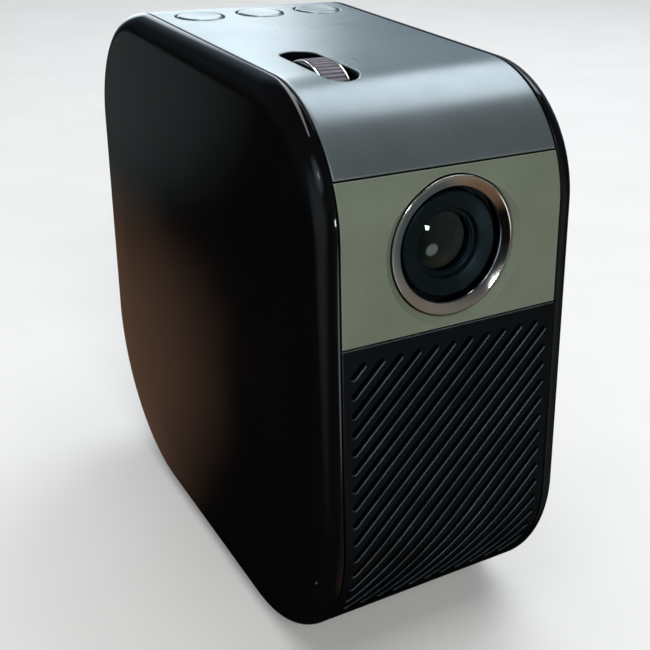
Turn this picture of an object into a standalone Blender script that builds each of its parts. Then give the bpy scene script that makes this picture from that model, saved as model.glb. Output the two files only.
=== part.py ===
# Upright home projector: two glossy side covers around a wrapped top band, a lens panel
# and a slotted front grille, with the focus gear, light engine, fan, battery and speaker
# inside.  Metres, +Z up, front towards -Y, origin under the middle of the feet.

import math

import bmesh
import bpy
from mathutils import Matrix, Vector

MM = 0.001

# Clearances
GAP = 0.3 * MM            # between neighbouring fixed pieces
RUN_GAP = 0.3 * MM        # around pieces that move

# Body outline, seen from the side
BODY_DEPTH = 153.8 * MM
BODY_HEIGHT = 150 * MM
FRONT_LEAN = 10 * MM      # how far the front leans back over the full height
TOP_FRONT_RADIUS = 32 * MM
TOP_REAR_RADIUS = 37 * MM
BOTTOM_FRONT_RADIUS = 40 * MM
BOTTOM_REAR_RADIUS = 48 * MM
ARC_STEPS = 9             # straight pieces in each rounded corner
FOOT_HEIGHT = 2 * MM      # the body stands this far off the surface

# Body across its width
BAND_WIDTH = 60.4 * MM    # top band, lens panel, grille, rear panel and base
COVER_RIM = 6 * MM        # each side cover's rounded rim
COVER_WALL = 2 * MM
COVER_LIP = 3 * MM
PANEL_WALL = 2.4 * MM

# Margins of the panels
OVER_RING = 1.8 * MM      # lens panel above and below its ring
UNDER_RING = 2.6 * MM
VENT_MARGIN = 5 * MM      # rear panel above its vent

# Front grille and rear vent: slots at 45 degrees
SLOT_PITCH = 4.93 * MM    # measured up the panel
SLOT_WIDTH = 1.7 * MM
GRILLE_HALF_WIDTH = 27.3 * MM
GRILLE_MARGIN = 4.6 * MM  # panel above its slots
GRILLE_SLOTS_BOTTOM = 20 * MM
VENT_HALF_WIDTH = 20 * MM
VENT_HALF_HEIGHT = 17 * MM
VENT_PITCH = 5.4 * MM

# Lens
WHEEL_DIP = 0.89 * MM     # of the wheel beside the lens guide
RING_WIDTH = 2.8 * MM     # of the ring's face
RING_CLEARANCE = 1.1 * MM     # between the ring's bore and the barrel
RING_RECESS = 1 * MM
RING_LENGTH = 5 * MM
RING_SLOPE = 0.8 * MM     # how far the ring falls towards its bore
RING_CHAMFER = 1.3 * MM
BARREL_RADIUS = 12.8 * MM
BARREL_WALL = 5.2 * MM
BARREL_FRONT = 2.6 * MM   # behind the panel's face
BARREL_LENGTH = 28.6 * MM
FOCUS_TRAVEL = 2.7 * MM   # each way along the lens axis
HOOD_DEPTH = 2.6 * MM
HOOD_SLOPE = 0.8 * MM     # fall of the ring round the front glass
HOOD_STEP = 0.6 * MM      # from the glass bore out to the ring
HOOD_FLARE = 0.2 * MM
GUIDE_WALL = 1.7 * MM
LENS_THICKNESS = 3.4 * MM
REAR_LENS_SETBACK = 18 * MM

# Focus wheel, rack and pinion
WHEEL_RADIUS = 14 * MM
WHEEL_WIDTH = 7.8 * MM
WHEEL_X = -15.5 * MM
WHEEL_Y = -32.9 * MM
WHEEL_PROUD = 1 * MM      # above the top band
WHEEL_RIBS = 44
RIB_DEPTH = 0.45 * MM
SIDE_DISC = 0.7 * MM
TYRE_DEPTH = 3 * MM
DISC_DROP = 0.2 * MM      # the side discs stand this far below the tyre
WHEEL_SLOT_LENGTH = 29 * MM
WHEEL_SLOT_GAP = 0.9 * MM
AXLE_RADIUS = 1.3 * MM
GEAR_MODULE = 0.5 * MM
PINION_TEETH = 10
PINION_WIDTH = 3.6 * MM
PINION_X = -8 * MM
RACK_TEETH = 10
RACK_WIDTH = 3 * MM
BRACKET_WALL = 1.5 * MM
BRACKET_DEPTH = 6 * MM

# Top buttons
BUTTON_RADIUS = 6.6 * MM
BUTTON_SPACING = 18.5 * MM
BUTTON_Y = 33 * MM
BUTTON_PROUD = 0.25 * MM
BUTTON_TRAVEL = 0.8 * MM
BUTTON_FLANGE = 1 * MM
BUTTON_STEM = 1.5 * MM
SWITCH_HEIGHT = 2.4 * MM
BOARD_THICKNESS = 1.6 * MM

# Light engine
ENGINE_WIDTH = 54 * MM
ENGINE_DEPTH = 58 * MM
ENGINE_HEIGHT = 29 * MM
ENGINE_RISE = 6.8 * MM    # of its top above the lens axis
LED_SIZE = 12 * MM
LED_DEPTH = 3 * MM
LED_SPACING = 3 * MM      # between two lamps

# Cooling
SINK_WIDTH = 44 * MM
SINK_DEPTH = 34 * MM
SINK_HEIGHT = 34 * MM
SINK_BASE = 3 * MM
SINK_FINS = 11
FIN_THICKNESS = 1 * MM
FAN_SIZE = 40 * MM
FAN_DEPTH = 10 * MM
FAN_DROP = 18 * MM        # of its axis below the engine's middle
FAN_HUB_RADIUS = 9 * MM
FAN_BORE_WALL = 1 * MM
FAN_PLATE = 1.4 * MM      # struts and seat behind the rotor
STRUT_WIDTH = 2 * MM
FAN_BLADES = 7
BLADE_THICKNESS = 1 * MM
BLADE_TWIST = 38          # degrees

# Boards, battery, speaker
MAIN_BOARD_DROP = 6 * MM  # below the sockets' middle
MAIN_BOARD_WIDTH = 54 * MM
MAIN_BOARD_FRONT = -34 * MM
BATTERY_CELL_RADIUS = 9.4 * MM
BATTERY_WIDTH = 38 * MM
BATTERY_LENGTH = 65 * MM
SPEAKER_RADIUS = 20 * MM
SPEAKER_DEPTH = 17 * MM
SPEAKER_HEIGHT = 56 * MM
MAGNET_RADIUS = 11 * MM
SHEET = 1.2 * MM          # thin formed walls inside

# Inner frame
FRAME_WALL = 1.5 * MM
FRAME_FLOOR = 31 * MM     # above the body's bottom
FRAME_FRONT = -30 * MM
FRAME_REAR = 58 * MM
POST_RADIUS = 3.3 * MM

# Base
FOOT_RADIUS = 4.5 * MM
FOOT_X = 23 * MM
FOOT_FRONT_Y = -30 * MM
FOOT_REAR_Y = 22 * MM
SCREW_RADIUS = 1.2 * MM
SCREW_HEAD_RADIUS = 2.4 * MM
SCREW_X = 23.5 * MM
SCREW_FRONT_Y = -18 * MM
SCREW_REAR_Y = 10 * MM
TRIPOD_BORE = 3.25 * MM
TRIPOD_RADIUS = 5 * MM
TRIPOD_LENGTH = 8 * MM
TRIPOD_Y = -4 * MM

# Rear sockets
SOCKET_DROP = 8 * MM      # middle of the row below the fan
SOCKET_DEPTH = 11 * MM
SOCKET_SHELL = 0.5 * MM
HDMI_OPENING = (14 * MM, 4.6 * MM)
HDMI_TONGUE = (11 * MM, 1 * MM)
HDMI_X = 0 * MM
USB_OPENING = (12.6 * MM, 5.2 * MM)
USB_TONGUE = (10.8 * MM, 1.8 * MM)
USB_X = 18 * MM
DC_RADIUS = 3.1 * MM
DC_BODY_RADIUS = 4.2 * MM
DC_X = -23 * MM
AUDIO_RADIUS = 1.8 * MM
AUDIO_BODY_RADIUS = 3.2 * MM
AUDIO_X = -13 * MM
IR_RADIUS = 3 * MM
IR_DROP = 10 * MM         # below the sockets' middle

ROUND = 32                # sides of a large round piece
SMALL_ROUND = 16

FLOOR = FOOT_HEIGHT
REAR_Y = BODY_DEPTH / 2
RING_BORE = BARREL_RADIUS + RING_CLEARANCE
RING_RADIUS = RING_BORE + RING_WIDTH

# Heights above the body's bottom: the wheel hangs from the top, the lens from the wheel, and the
# light engine, fan, sockets and panels go with the lens. The guide passes beside the wheel.
GUIDE_RADIUS = BARREL_RADIUS + RUN_GAP + GUIDE_WALL
WHEEL_SIDE = abs(WHEEL_X) - WHEEL_WIDTH / 2
GUIDE_RISE = math.sqrt(GUIDE_RADIUS**2 - WHEEL_SIDE**2)
LENS_HEIGHT = BODY_HEIGHT + WHEEL_PROUD - 2 * WHEEL_RADIUS - GUIDE_RISE + WHEEL_DIP
LENS_PANEL_TOP = LENS_HEIGHT + RING_RADIUS + OVER_RING
GRILLE_TOP = LENS_HEIGHT - RING_RADIUS - UNDER_RING
GRILLE_SLOTS_TOP = GRILLE_TOP - GRILLE_MARGIN
ENGINE_TOP = LENS_HEIGHT + ENGINE_RISE
FAN_HEIGHT = ENGINE_TOP - ENGINE_HEIGHT / 2 - FAN_DROP
VENT_TOP = FAN_HEIGHT + VENT_HALF_HEIGHT
VENT_BOTTOM = FAN_HEIGHT - VENT_HALF_HEIGHT
REAR_PANEL_TOP = VENT_TOP + VENT_MARGIN
SOCKET_HEIGHT = FAN_HEIGHT - FAN_SIZE / 2 - SOCKET_DROP
IR_HEIGHT = SOCKET_HEIGHT - IR_DROP
MAIN_BOARD_HEIGHT = SOCKET_HEIGHT - MAIN_BOARD_DROP

INSIDE = PANEL_WALL + GAP
LEAN_ANGLE = math.atan2(FRONT_LEAN, BODY_HEIGHT)


# ---------------------------------------------------------------- helpers

def clear_scene():
    for obj in list(bpy.data.objects):
        bpy.data.objects.remove(obj, do_unlink=True)


def new_collection(name):
    collection = bpy.data.collections.new(name)
    bpy.context.scene.collection.children.link(collection)
    return collection


def make_material(name, colour, roughness, metallic=0.0):
    material = bpy.data.materials.new(name)
    material.use_nodes = True
    shader = material.node_tree.nodes["Principled BSDF"]
    shader.inputs["Base Color"].default_value = (*colour, 1.0)
    shader.inputs["Roughness"].default_value = roughness
    shader.inputs["Metallic"].default_value = metallic
    return material


def add_object(name, mesh, material=None, place=None):
    # Pieces with a material are parts; those without are cutters or shapes to join.
    obj = bpy.data.objects.new(name, mesh)
    obj.matrix_world = place or Matrix()
    if material is None:
        CUTTERS.objects.link(obj)
        obj.hide_render = True
        obj.display_type = "WIRE"
    else:
        PARTS.objects.link(obj)
        mesh.materials.append(material)
        shade(mesh)
    return obj


def shade(mesh):
    mesh.shade_smooth()
    mesh.set_sharp_from_angle(angle=math.radians(35))


def at(x, y, z):
    return Matrix.Translation((x, y, z))


def box(name, size, material=None, place=None):
    shape = bmesh.new()
    bmesh.ops.create_cube(shape, size=1)
    bmesh.ops.scale(shape, vec=Vector(size), verts=shape.verts)
    return from_bmesh(name, shape, material, place)


def cylinder(name, radius, length, material=None, place=None, sides=SMALL_ROUND, top=None):
    shape = bmesh.new()
    bmesh.ops.create_cone(
        shape,
        cap_ends=True,
        segments=sides,
        radius1=radius,
        radius2=radius if top is None else top,
        depth=length,
    )
    return from_bmesh(name, shape, material, place)


def from_bmesh(name, shape, material, place):
    mesh = bpy.data.meshes.new(name)
    shape.to_mesh(mesh)
    shape.free()
    return add_object(name, mesh, material, place)


def turned(name, profile, closed, material=None, place=None, steps=ROUND):
    # profile holds (radius, height) points that run down the outer side.
    count = len(profile)
    edges = [(i, i + 1) for i in range(count - 1)]
    if closed:
        edges.append((count - 1, 0))
    mesh = bpy.data.meshes.new(name)
    mesh.from_pydata([(radius, 0, height) for radius, height in profile], edges, [])
    obj = add_object(name, mesh, material, place)
    screw = obj.modifiers.new("Turn", "SCREW")
    screw.steps = steps
    screw.render_steps = steps
    screw.use_merge_vertices = True
    screw.merge_threshold = 0.00001
    screw.use_smooth_shade = True
    return obj


def flat_outline(name, points, thickness, material=None, place=None):
    # A closed outline in local X and Y, filled and made thick about its own plane.
    curve = bpy.data.curves.new(name, "CURVE")
    curve.dimensions = "2D"
    curve.fill_mode = "BOTH"
    curve.extrude = thickness / 2
    spline = curve.splines.new("POLY")
    spline.points.add(len(points) - 1)
    for point, (x, y) in zip(spline.points, points):
        point.co = (x, y, 0, 1)
    spline.use_cyclic_u = True
    sketch = bpy.data.objects.new(name, curve)
    bpy.context.scene.collection.objects.link(sketch)
    graph = bpy.context.evaluated_depsgraph_get()
    mesh = bpy.data.meshes.new_from_object(sketch.evaluated_get(graph))
    bpy.data.objects.remove(sketch, do_unlink=True)
    bpy.data.curves.remove(curve)
    mesh.materials.clear()
    shape = bmesh.new()
    shape.from_mesh(mesh)
    bmesh.ops.remove_doubles(shape, verts=shape.verts, dist=0.000005)
    bmesh.ops.recalc_face_normals(shape, faces=shape.faces)
    shape.to_mesh(mesh)
    shape.free()
    mesh.name = name
    return add_object(name, mesh, material, place)


def combine(obj, other, operation):
    step = obj.modifiers.new(other.name, "BOOLEAN")
    step.operation = operation
    step.object = other
    step.solver = "EXACT"


def cut(obj, other):
    combine(obj, other, "DIFFERENCE")


def join(obj, other):
    combine(obj, other, "UNION")


def round_edges(obj, width, segments=2, angle=40):
    bevel = obj.modifiers.new("Rounded edges", "BEVEL")
    bevel.width = width
    bevel.segments = segments
    bevel.limit_method = "ANGLE"
    bevel.angle_limit = math.radians(angle)
    bevel.use_clamp_overlap = True


def parent_to(obj, empty):
    world = obj.matrix_world.copy()
    obj.parent = empty
    obj.matrix_parent_inverse = empty.matrix_world.inverted()
    obj.matrix_world = world


def joint_axis(name, place):
    empty = bpy.data.objects.new(name, None)
    empty.matrix_world = place
    empty.empty_display_size = 0.01
    PARTS.objects.link(empty)
    bpy.context.view_layer.update()
    return empty


# ---------------------------------------------------------------- body outline

def corner_points():
    # The four corners before rounding, as (y, z), with the radius of each.
    slope = math.atan2(BODY_HEIGHT, FRONT_LEAN)
    front = -REAR_Y + BOTTOM_FRONT_RADIUS - BOTTOM_FRONT_RADIUS / math.tan(slope / 2)
    top = FLOOR + BODY_HEIGHT
    return [
        (Vector((front, FLOOR)), BOTTOM_FRONT_RADIUS),
        (Vector((REAR_Y, FLOOR)), BOTTOM_REAR_RADIUS),
        (Vector((REAR_Y, top)), TOP_REAR_RADIUS),
        (Vector((front + FRONT_LEAN, top)), TOP_FRONT_RADIUS),
    ]


def front_face_y(height):
    # Where the straight front stands at a height above the body's bottom.
    return corner_points()[0][0].x + FRONT_LEAN * height / BODY_HEIGHT


def outline_samples():
    # (point, outward normal) once round, from the foot of the lens panel down the front,
    # along the bottom, up the rear and over the top.
    corners = corner_points()
    start = Vector((front_face_y(GRILLE_TOP), FLOOR + GRILLE_TOP))
    front_normal = Vector((-math.cos(LEAN_ANGLE), math.sin(LEAN_ANGLE)))
    samples = [(start, front_normal)]
    for index, (corner, radius) in enumerate(corners):
        before = (corners[index - 1][0] - corner).normalized()
        after = (corners[(index + 1) % 4][0] - corner).normalized()
        half = math.acos(before.dot(after)) / 2
        centre = corner + (before + after).normalized() * radius / math.sin(half)
        first = corner + before * radius / math.tan(half) - centre
        last = corner + after * radius / math.tan(half) - centre
        turn = first.angle_signed(last)
        for step in range(ARC_STEPS + 1):
            spoke = Matrix.Rotation(-turn * step / ARC_STEPS, 2) @ first
            samples.append((centre + spoke, spoke.normalized()))
    samples.append((start.copy(), front_normal))
    return samples


def run_lengths(samples):
    lengths = [0.0]
    for (here, _), (there, _) in zip(samples, samples[1:]):
        lengths.append(lengths[-1] + (there - here).length)
    return lengths


def outline_at(distance):
    # (point, normal) at a distance along the outline.
    for index in range(len(SAMPLES) - 1):
        if distance <= LENGTHS[index + 1] + 1e-9:
            span = LENGTHS[index + 1] - LENGTHS[index]
            share = (distance - LENGTHS[index]) / span
            point = SAMPLES[index][0].lerp(SAMPLES[index + 1][0], share)
            normal = SAMPLES[index][1].lerp(SAMPLES[index + 1][1], share)
            return point, normal.normalized()
    return SAMPLES[-1]


def crossing(axis, value, side_axis, side):
    # The distance along the outline where it crosses a level, on the side asked for.
    for index in range(len(SAMPLES) - 1):
        here = SAMPLES[index][0]
        there = SAMPLES[index + 1][0]
        low, high = sorted((here[axis], there[axis]))
        if low <= value <= high and high > low:
            share = (value - here[axis]) / (there[axis] - here[axis])
            if here.lerp(there, share)[side_axis] * side > 0:
                return LENGTHS[index] + share * (LENGTHS[index + 1] - LENGTHS[index])
    return None


def strip_outline(start, end, outer, inner):
    distances = [start, *[d for d in LENGTHS if start + 1e-6 < d < end - 1e-6], end]
    spots = [outline_at(distance) for distance in distances]
    outside = [tuple(point - normal * outer) for point, normal in spots]
    inside = [tuple(point - normal * inner) for point, normal in spots]
    return outside + inside[::-1]


def whole_outline(inset):
    return [tuple(point - normal * inset) for point, normal in SAMPLES[:-1]]


def side_plane(x):
    # Places an outline drawn in (y, z) upright at x.
    return Matrix(((0, 0, 1, x), (1, 0, 0, 0), (0, 1, 0, 0), (0, 0, 0, 1)))


def panel_strip(name, start, end, material):
    points = strip_outline(start + GAP / 2, end - GAP / 2, 0, PANEL_WALL)
    return flat_outline(name, points, BAND_WIDTH, material, side_plane(0))


def lens_place(depth=0.0, up=0.0, across=0.0):
    # A place in the lens's own frame: +Z out along its axis from the panel's face.
    turn = Matrix.Rotation(math.pi / 2 - LEAN_ANGLE, 4, "X")
    face = at(0, front_face_y(LENS_HEIGHT), FLOOR + LENS_HEIGHT)
    return face @ turn @ at(across, up, -depth)


# ---------------------------------------------------------------- casing

def side_cover(name, side):
    inner = BAND_WIDTH / 2 + GAP
    middle = side * (inner + COVER_RIM / 2)
    cover = flat_outline(name, whole_outline(0), COVER_RIM, GLOSS_BLACK, side_plane(middle))
    weight_outer_edge(cover.data, side)
    bevel = cover.modifiers.new("Rounded rim", "BEVEL")
    bevel.limit_method = "WEIGHT"
    bevel.width = COVER_RIM - GAP
    bevel.segments = 5
    hollow_depth = COVER_RIM - COVER_WALL
    hollow = flat_outline(
        name + "_hollow",
        whole_outline(COVER_LIP),
        2 * hollow_depth,
        None,
        side_plane(side * inner),
    )
    cut(cover, hollow)
    return cover


def weight_outer_edge(mesh, side):
    # Marks the outline's outer edge, so that the bevel rounds that edge alone.
    shape = bmesh.new()
    shape.from_mesh(mesh)
    weights = shape.edges.layers.float.new("bevel_weight_edge")
    for edge in shape.edges:
        outside = all(vertex.co.z * side > 0 for vertex in edge.verts)
        if outside and edge.calc_face_angle(0) > math.radians(60):
            edge[weights] = 1.0
    shape.to_mesh(mesh)
    shape.free()


def top_band():
    band = panel_strip("top_band", REAR_SPLIT, LENS_SPLIT, SATIN_GREY)
    slot = wheel_slot()
    cut(band, slot)
    for label, x in button_places():
        hole = cylinder(
            "hole_" + label,
            BUTTON_RADIUS + RUN_GAP,
            8 * PANEL_WALL,
            None,
            at(x, BUTTON_Y, FLOOR + BODY_HEIGHT),
            ROUND,
        )
        cut(band, hole)
    return band


def wheel_slot():
    half = WHEEL_WIDTH / 2 + WHEEL_SLOT_GAP
    reach = WHEEL_SLOT_LENGTH / 2 - half
    points = []
    for end in (1, -1):
        for step in range(9):
            angle = math.pi * step / 8 + (0 if end > 0 else math.pi)
            points.append((half * math.cos(angle), end * reach + half * math.sin(angle)))
    place = at(WHEEL_X, WHEEL_Y, FLOOR + BODY_HEIGHT)
    return flat_outline("wheel_slot", points, 10 * PANEL_WALL, None, place)


def lens_panel():
    panel = panel_strip("lens_panel", LENS_SPLIT, LENGTHS[-1], OLIVE_GREY)
    radius = RING_RADIUS + GAP
    profile = [
        (0, PANEL_WALL),
        (radius + RING_CHAMFER + PANEL_WALL, PANEL_WALL),
        (radius, -RING_CHAMFER),
        (radius, -4 * PANEL_WALL),
        (0, -4 * PANEL_WALL),
    ]
    hole = turned("lens_hole", profile, False, None, lens_place(), 48)
    cut(panel, hole)
    return panel


def slot_rows(half_width, bottom, top, pitch):
    # Lines that rise at 45 degrees, clipped to a rectangle: (x0, z0, x1, z1).
    rows = []
    level = top + half_width - pitch / 2
    while level > bottom - half_width:
        left = max(-half_width, bottom - level)
        right = min(half_width, top - level)
        if right - left > pitch * 0.4:
            rows.append((left, level + left, right, level + right))
        level -= pitch
    return rows


def cut_slots(panel, rows, y, depth, width):
    # Every slot of a panel in one cutter; the slots don't touch each other.
    cutter = bmesh.new()
    for x0, z0, x1, z1 in rows:
        length = math.hypot(x1 - x0, z1 - z0)
        turn = Matrix.Rotation(-math.atan2(z1 - z0, x1 - x0), 4, "Y")
        place = at((x0 + x1) / 2, y, FLOOR + (z0 + z1) / 2) @ turn
        size = Matrix.Diagonal((length, depth, width, 1))
        bmesh.ops.create_cube(cutter, size=1, matrix=place @ size)
    mesh = bpy.data.meshes.new(panel.name + "_slots")
    cutter.to_mesh(mesh)
    cutter.free()
    slots = add_object(panel.name + "_slots", mesh)
    cut(panel, slots)


def front_grille():
    grille = panel_strip("front_grille", 0, FLAT_START, MATTE_BLACK)
    rows = slot_rows(GRILLE_HALF_WIDTH, GRILLE_SLOTS_BOTTOM, GRILLE_SLOTS_TOP, SLOT_PITCH)
    cut_slots(grille, rows, -REAR_Y, 12 * PANEL_WALL, SLOT_WIDTH)
    return grille


def bottom_plate():
    plate = panel_strip("bottom_plate", FLAT_START, FLAT_END, MATTE_BLACK)
    boss_height = TRIPOD_LENGTH + SHEET
    boss = cylinder(
        "tripod_boss",
        TRIPOD_RADIUS + 2 * SHEET,
        boss_height,
        None,
        at(0, TRIPOD_Y, FLOOR + boss_height / 2 + PANEL_WALL / 4),
        ROUND,
    )
    join(plate, boss)
    well = cylinder(
        "tripod_well",
        TRIPOD_RADIUS + GAP,
        2 * (TRIPOD_LENGTH + GAP),
        None,
        at(0, TRIPOD_Y, FLOOR),
        ROUND,
    )
    cut(plate, well)
    for label, x, y in screw_places():
        head = cylinder(
            "sink_" + label,
            SCREW_HEAD_RADIUS + GAP,
            PANEL_WALL,
            None,
            at(x, y, FLOOR),
        )
        shank = cylinder(
            "shank_hole_" + label,
            SCREW_RADIUS + GAP,
            4 * PANEL_WALL,
            None,
            at(x, y, FLOOR),
        )
        cut(plate, head)
        cut(plate, shank)
    return plate


def rear_panel():
    panel = panel_strip("rear_panel", FLAT_END, REAR_SPLIT, MATTE_BLACK)
    rows = slot_rows(VENT_HALF_WIDTH, VENT_BOTTOM, VENT_TOP, VENT_PITCH)
    cut_slots(panel, rows, REAR_Y, 6 * PANEL_WALL, SLOT_WIDTH)
    for label, x, opening in (("hdmi", HDMI_X, HDMI_OPENING), ("usb", USB_X, USB_OPENING)):
        size = [side + 2 * (SOCKET_SHELL + GAP) for side in opening]
        window = box(
            "window_" + label,
            (size[0], 6 * PANEL_WALL, size[1]),
            None,
            at(x, REAR_Y, FLOOR + SOCKET_HEIGHT),
        )
        cut(panel, window)
    round_holes = (
        ("dc", DC_X, DC_BODY_RADIUS, SOCKET_HEIGHT),
        ("audio", AUDIO_X, AUDIO_BODY_RADIUS, SOCKET_HEIGHT),
        ("ir", 0, IR_RADIUS, IR_HEIGHT),
    )
    for label, x, radius, height in round_holes:
        hole = cylinder(
            "hole_" + label,
            radius + GAP,
            6 * PANEL_WALL,
            None,
            at(x, REAR_Y, FLOOR + height) @ FACING_REAR,
            ROUND,
        )
        cut(panel, hole)
    return panel


def lens_trim_ring():
    mouth = RING_RADIUS - 0.7 * MM
    profile = [
        (mouth, -RING_RECESS),
        (RING_RADIUS, -RING_RECESS),
        (RING_RADIUS, -RING_RECESS - RING_LENGTH),
        (RING_BORE, -RING_RECESS - RING_LENGTH),
        (RING_BORE, -RING_RECESS - RING_SLOPE),
    ]
    return turned("lens_trim_ring", profile, True, CHROME, lens_place(), 48)


def feet():
    for end, y in (("front", FOOT_FRONT_Y), ("rear", FOOT_REAR_Y)):
        for side, x in (("left", -FOOT_X), ("right", FOOT_X)):
            height = FOOT_HEIGHT - GAP
            cylinder(
                f"foot_{end}_{side}",
                FOOT_RADIUS * 0.9,
                height,
                RUBBER,
                at(x, y, height / 2),
                24,
                FOOT_RADIUS,
            )


# ---------------------------------------------------------------- focus gear

def wheel_centre():
    return (WHEEL_Y, FLOOR + BODY_HEIGHT + WHEEL_PROUD - WHEEL_RADIUS)


def across(x):
    # Turns a piece made about +Z so that it lies along +X at the wheel's axle.
    y, z = wheel_centre()
    return at(x, y, z) @ Matrix.Rotation(math.pi / 2, 4, "Y")


def focus_wheel_hub():
    half = WHEEL_WIDTH / 2
    rim = WHEEL_RADIUS - DISC_DROP
    waist = WHEEL_RADIUS - TYRE_DEPTH
    bore = AXLE_RADIUS + GAP
    profile = [
        (rim, half),
        (rim, half - SIDE_DISC),
        (waist, half - SIDE_DISC),
        (waist, SIDE_DISC - half),
        (rim, SIDE_DISC - half),
        (rim, -half),
        (bore, -half),
        (bore, half),
    ]
    return turned("focus_wheel_hub", profile, True, CHROME, across(WHEEL_X), 40)


def focus_wheel_tyre():
    tyre = ribbed_ring()
    bore = cylinder(
        "tyre_bore", WHEEL_RADIUS - TYRE_DEPTH + GAP, WHEEL_WIDTH, None, across(WHEEL_X), 40
    )
    cut(tyre, bore)
    return tyre


def ribbed_ring():
    points = []
    step = 2 * math.pi / WHEEL_RIBS
    for rib in range(WHEEL_RIBS):
        points.append(on_circle(WHEEL_RADIUS, step * (rib - 0.2)))
        points.append(on_circle(WHEEL_RADIUS, step * (rib + 0.2)))
        points.append(on_circle(WHEEL_RADIUS - RIB_DEPTH, step * (rib + 0.5)))
    width = WHEEL_WIDTH - 2 * (SIDE_DISC + GAP)
    return flat_outline("focus_wheel_tyre", points, width, RUBBER, across(WHEEL_X))


def on_circle(radius, angle):
    return (radius * math.cos(angle), radius * math.sin(angle))


def focus_axle():
    ear = bracket_reach()
    length = ear[1] - ear[0] + GAP
    middle = (ear[0] + ear[1]) / 2
    pinion = flat_outline(
        "focus_axle", pinion_outline(), PINION_WIDTH, BRASS, across(PINION_X)
    )
    shaft = cylinder("axle_shaft", AXLE_RADIUS, length, None, across(middle))
    join(pinion, shaft)
    return pinion


def pinion_outline():
    pitch_radius = GEAR_MODULE * PINION_TEETH / 2
    step = 2 * math.pi / PINION_TEETH
    points = []
    for tooth in range(PINION_TEETH):
        # One tooth points straight down at rest, into a gap of the rack.
        centre = step * tooth
        for radius, angle in (
            (pitch_radius - 1.1 * GEAR_MODULE, -0.27),
            (pitch_radius, -0.17),
            (pitch_radius + 0.7 * GEAR_MODULE, -0.09),
            (pitch_radius + 0.7 * GEAR_MODULE, 0.09),
            (pitch_radius, 0.17),
            (pitch_radius - 1.1 * GEAR_MODULE, 0.27),
        ):
            points.append(on_circle(radius, centre + angle * step))
    return points


def focus_rack():
    pitch = math.pi * GEAR_MODULE
    wheel_y, wheel_z = wheel_centre()
    centre = lens_place().inverted() @ Vector((0, wheel_y, wheel_z))
    pitch_line = centre.y - GEAR_MODULE * PINION_TEETH / 2
    tip = pitch_line + 0.7 * GEAR_MODULE
    root = pitch_line - 1.1 * GEAR_MODULE
    rear = centre.z - pitch * RACK_TEETH / 2
    points = []
    for tooth in range(RACK_TEETH):
        middle = rear + pitch * (tooth + 0.5) + pitch / 2 * (RACK_TEETH % 2)
        points.append((middle - 0.30 * pitch, root))
        points.append((middle - 0.11 * pitch, tip))
        points.append((middle + 0.11 * pitch, tip))
        points.append((middle + 0.30 * pitch, root))
    front = -BARREL_FRONT - BARREL_LENGTH * 0.55
    barrel_top = math.sqrt(BARREL_RADIUS**2 - (abs(PINION_X) - RACK_WIDTH / 2) ** 2)
    foot = barrel_top + GAP
    points.append((front, root))
    points.append((front, foot))
    points.append((-BARREL_FRONT - BARREL_LENGTH, foot))
    points.append((-BARREL_FRONT - BARREL_LENGTH, root - 3 * GEAR_MODULE))
    points.append((rear, root - 3 * GEAR_MODULE))
    lens = lens_place(0, 0, PINION_X)
    upright = Matrix(((0, 0, 1, 0), (0, 1, 0, 0), (-1, 0, 0, 0), (0, 0, 0, 1)))
    flipped = [(-depth, up) for depth, up in points]
    return flat_outline("focus_rack", flipped, RACK_WIDTH, BLACK_PLASTIC, lens @ upright)


def bracket_reach():
    # The outer faces of the bracket's two ears, along X.
    left = WHEEL_X - WHEEL_WIDTH / 2 - 2 * GAP - BRACKET_WALL
    right = PINION_X + PINION_WIDTH / 2 + 2 * GAP + BRACKET_WALL
    return left, right


def focus_bracket():
    left, right = bracket_reach()
    wheel_y, wheel_z = wheel_centre()
    base = FLOOR + ENGINE_TOP + GAP
    top = wheel_z + AXLE_RADIUS + 2 * MM
    height = top - base
    bracket = box(
        "focus_bracket",
        (right - left, BRACKET_DEPTH, height),
        STEEL,
        at((left + right) / 2, wheel_y, base + height / 2),
    )
    inside = box(
        "bracket_inside",
        (right - left - 2 * BRACKET_WALL, 2 * BRACKET_DEPTH, height),
        None,
        at((left + right) / 2, wheel_y, base + SHEET + height / 2),
    )
    cut(bracket, inside)
    bearing = cylinder(
        "axle_hole",
        AXLE_RADIUS + RUN_GAP,
        2 * (right - left),
        None,
        across((left + right) / 2),
    )
    cut(bracket, bearing)
    return bracket


# ---------------------------------------------------------------- lens

def lens_barrel():
    front = -BARREL_FRONT
    back = front - BARREL_LENGTH
    bore = BARREL_RADIUS - BARREL_WALL
    profile = [
        (BARREL_RADIUS - 0.5 * MM, front),
        (BARREL_RADIUS, front - 0.3 * MM),
        (BARREL_RADIUS, back),
        (bore, back),
        (bore, front - HOOD_DEPTH),
        (bore + HOOD_STEP, front - HOOD_DEPTH),
        (bore + HOOD_STEP + HOOD_FLARE, front - HOOD_SLOPE),
    ]
    return turned("lens_barrel", profile, True, BLACK_PLASTIC, lens_place(), 40)


def glass_lens(name, depth, bulge):
    # A lens with a domed front and a flat back.
    radius = BARREL_RADIUS - BARREL_WALL - GAP
    profile = []
    for step in range(7):
        share = step / 6
        profile.append((radius * share, bulge * (1 - share**2)))
    profile.append((radius, -LENS_THICKNESS))
    profile.append((0, -LENS_THICKNESS))
    return turned(name, profile, False, GLASS, lens_place(depth), ROUND)


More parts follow.
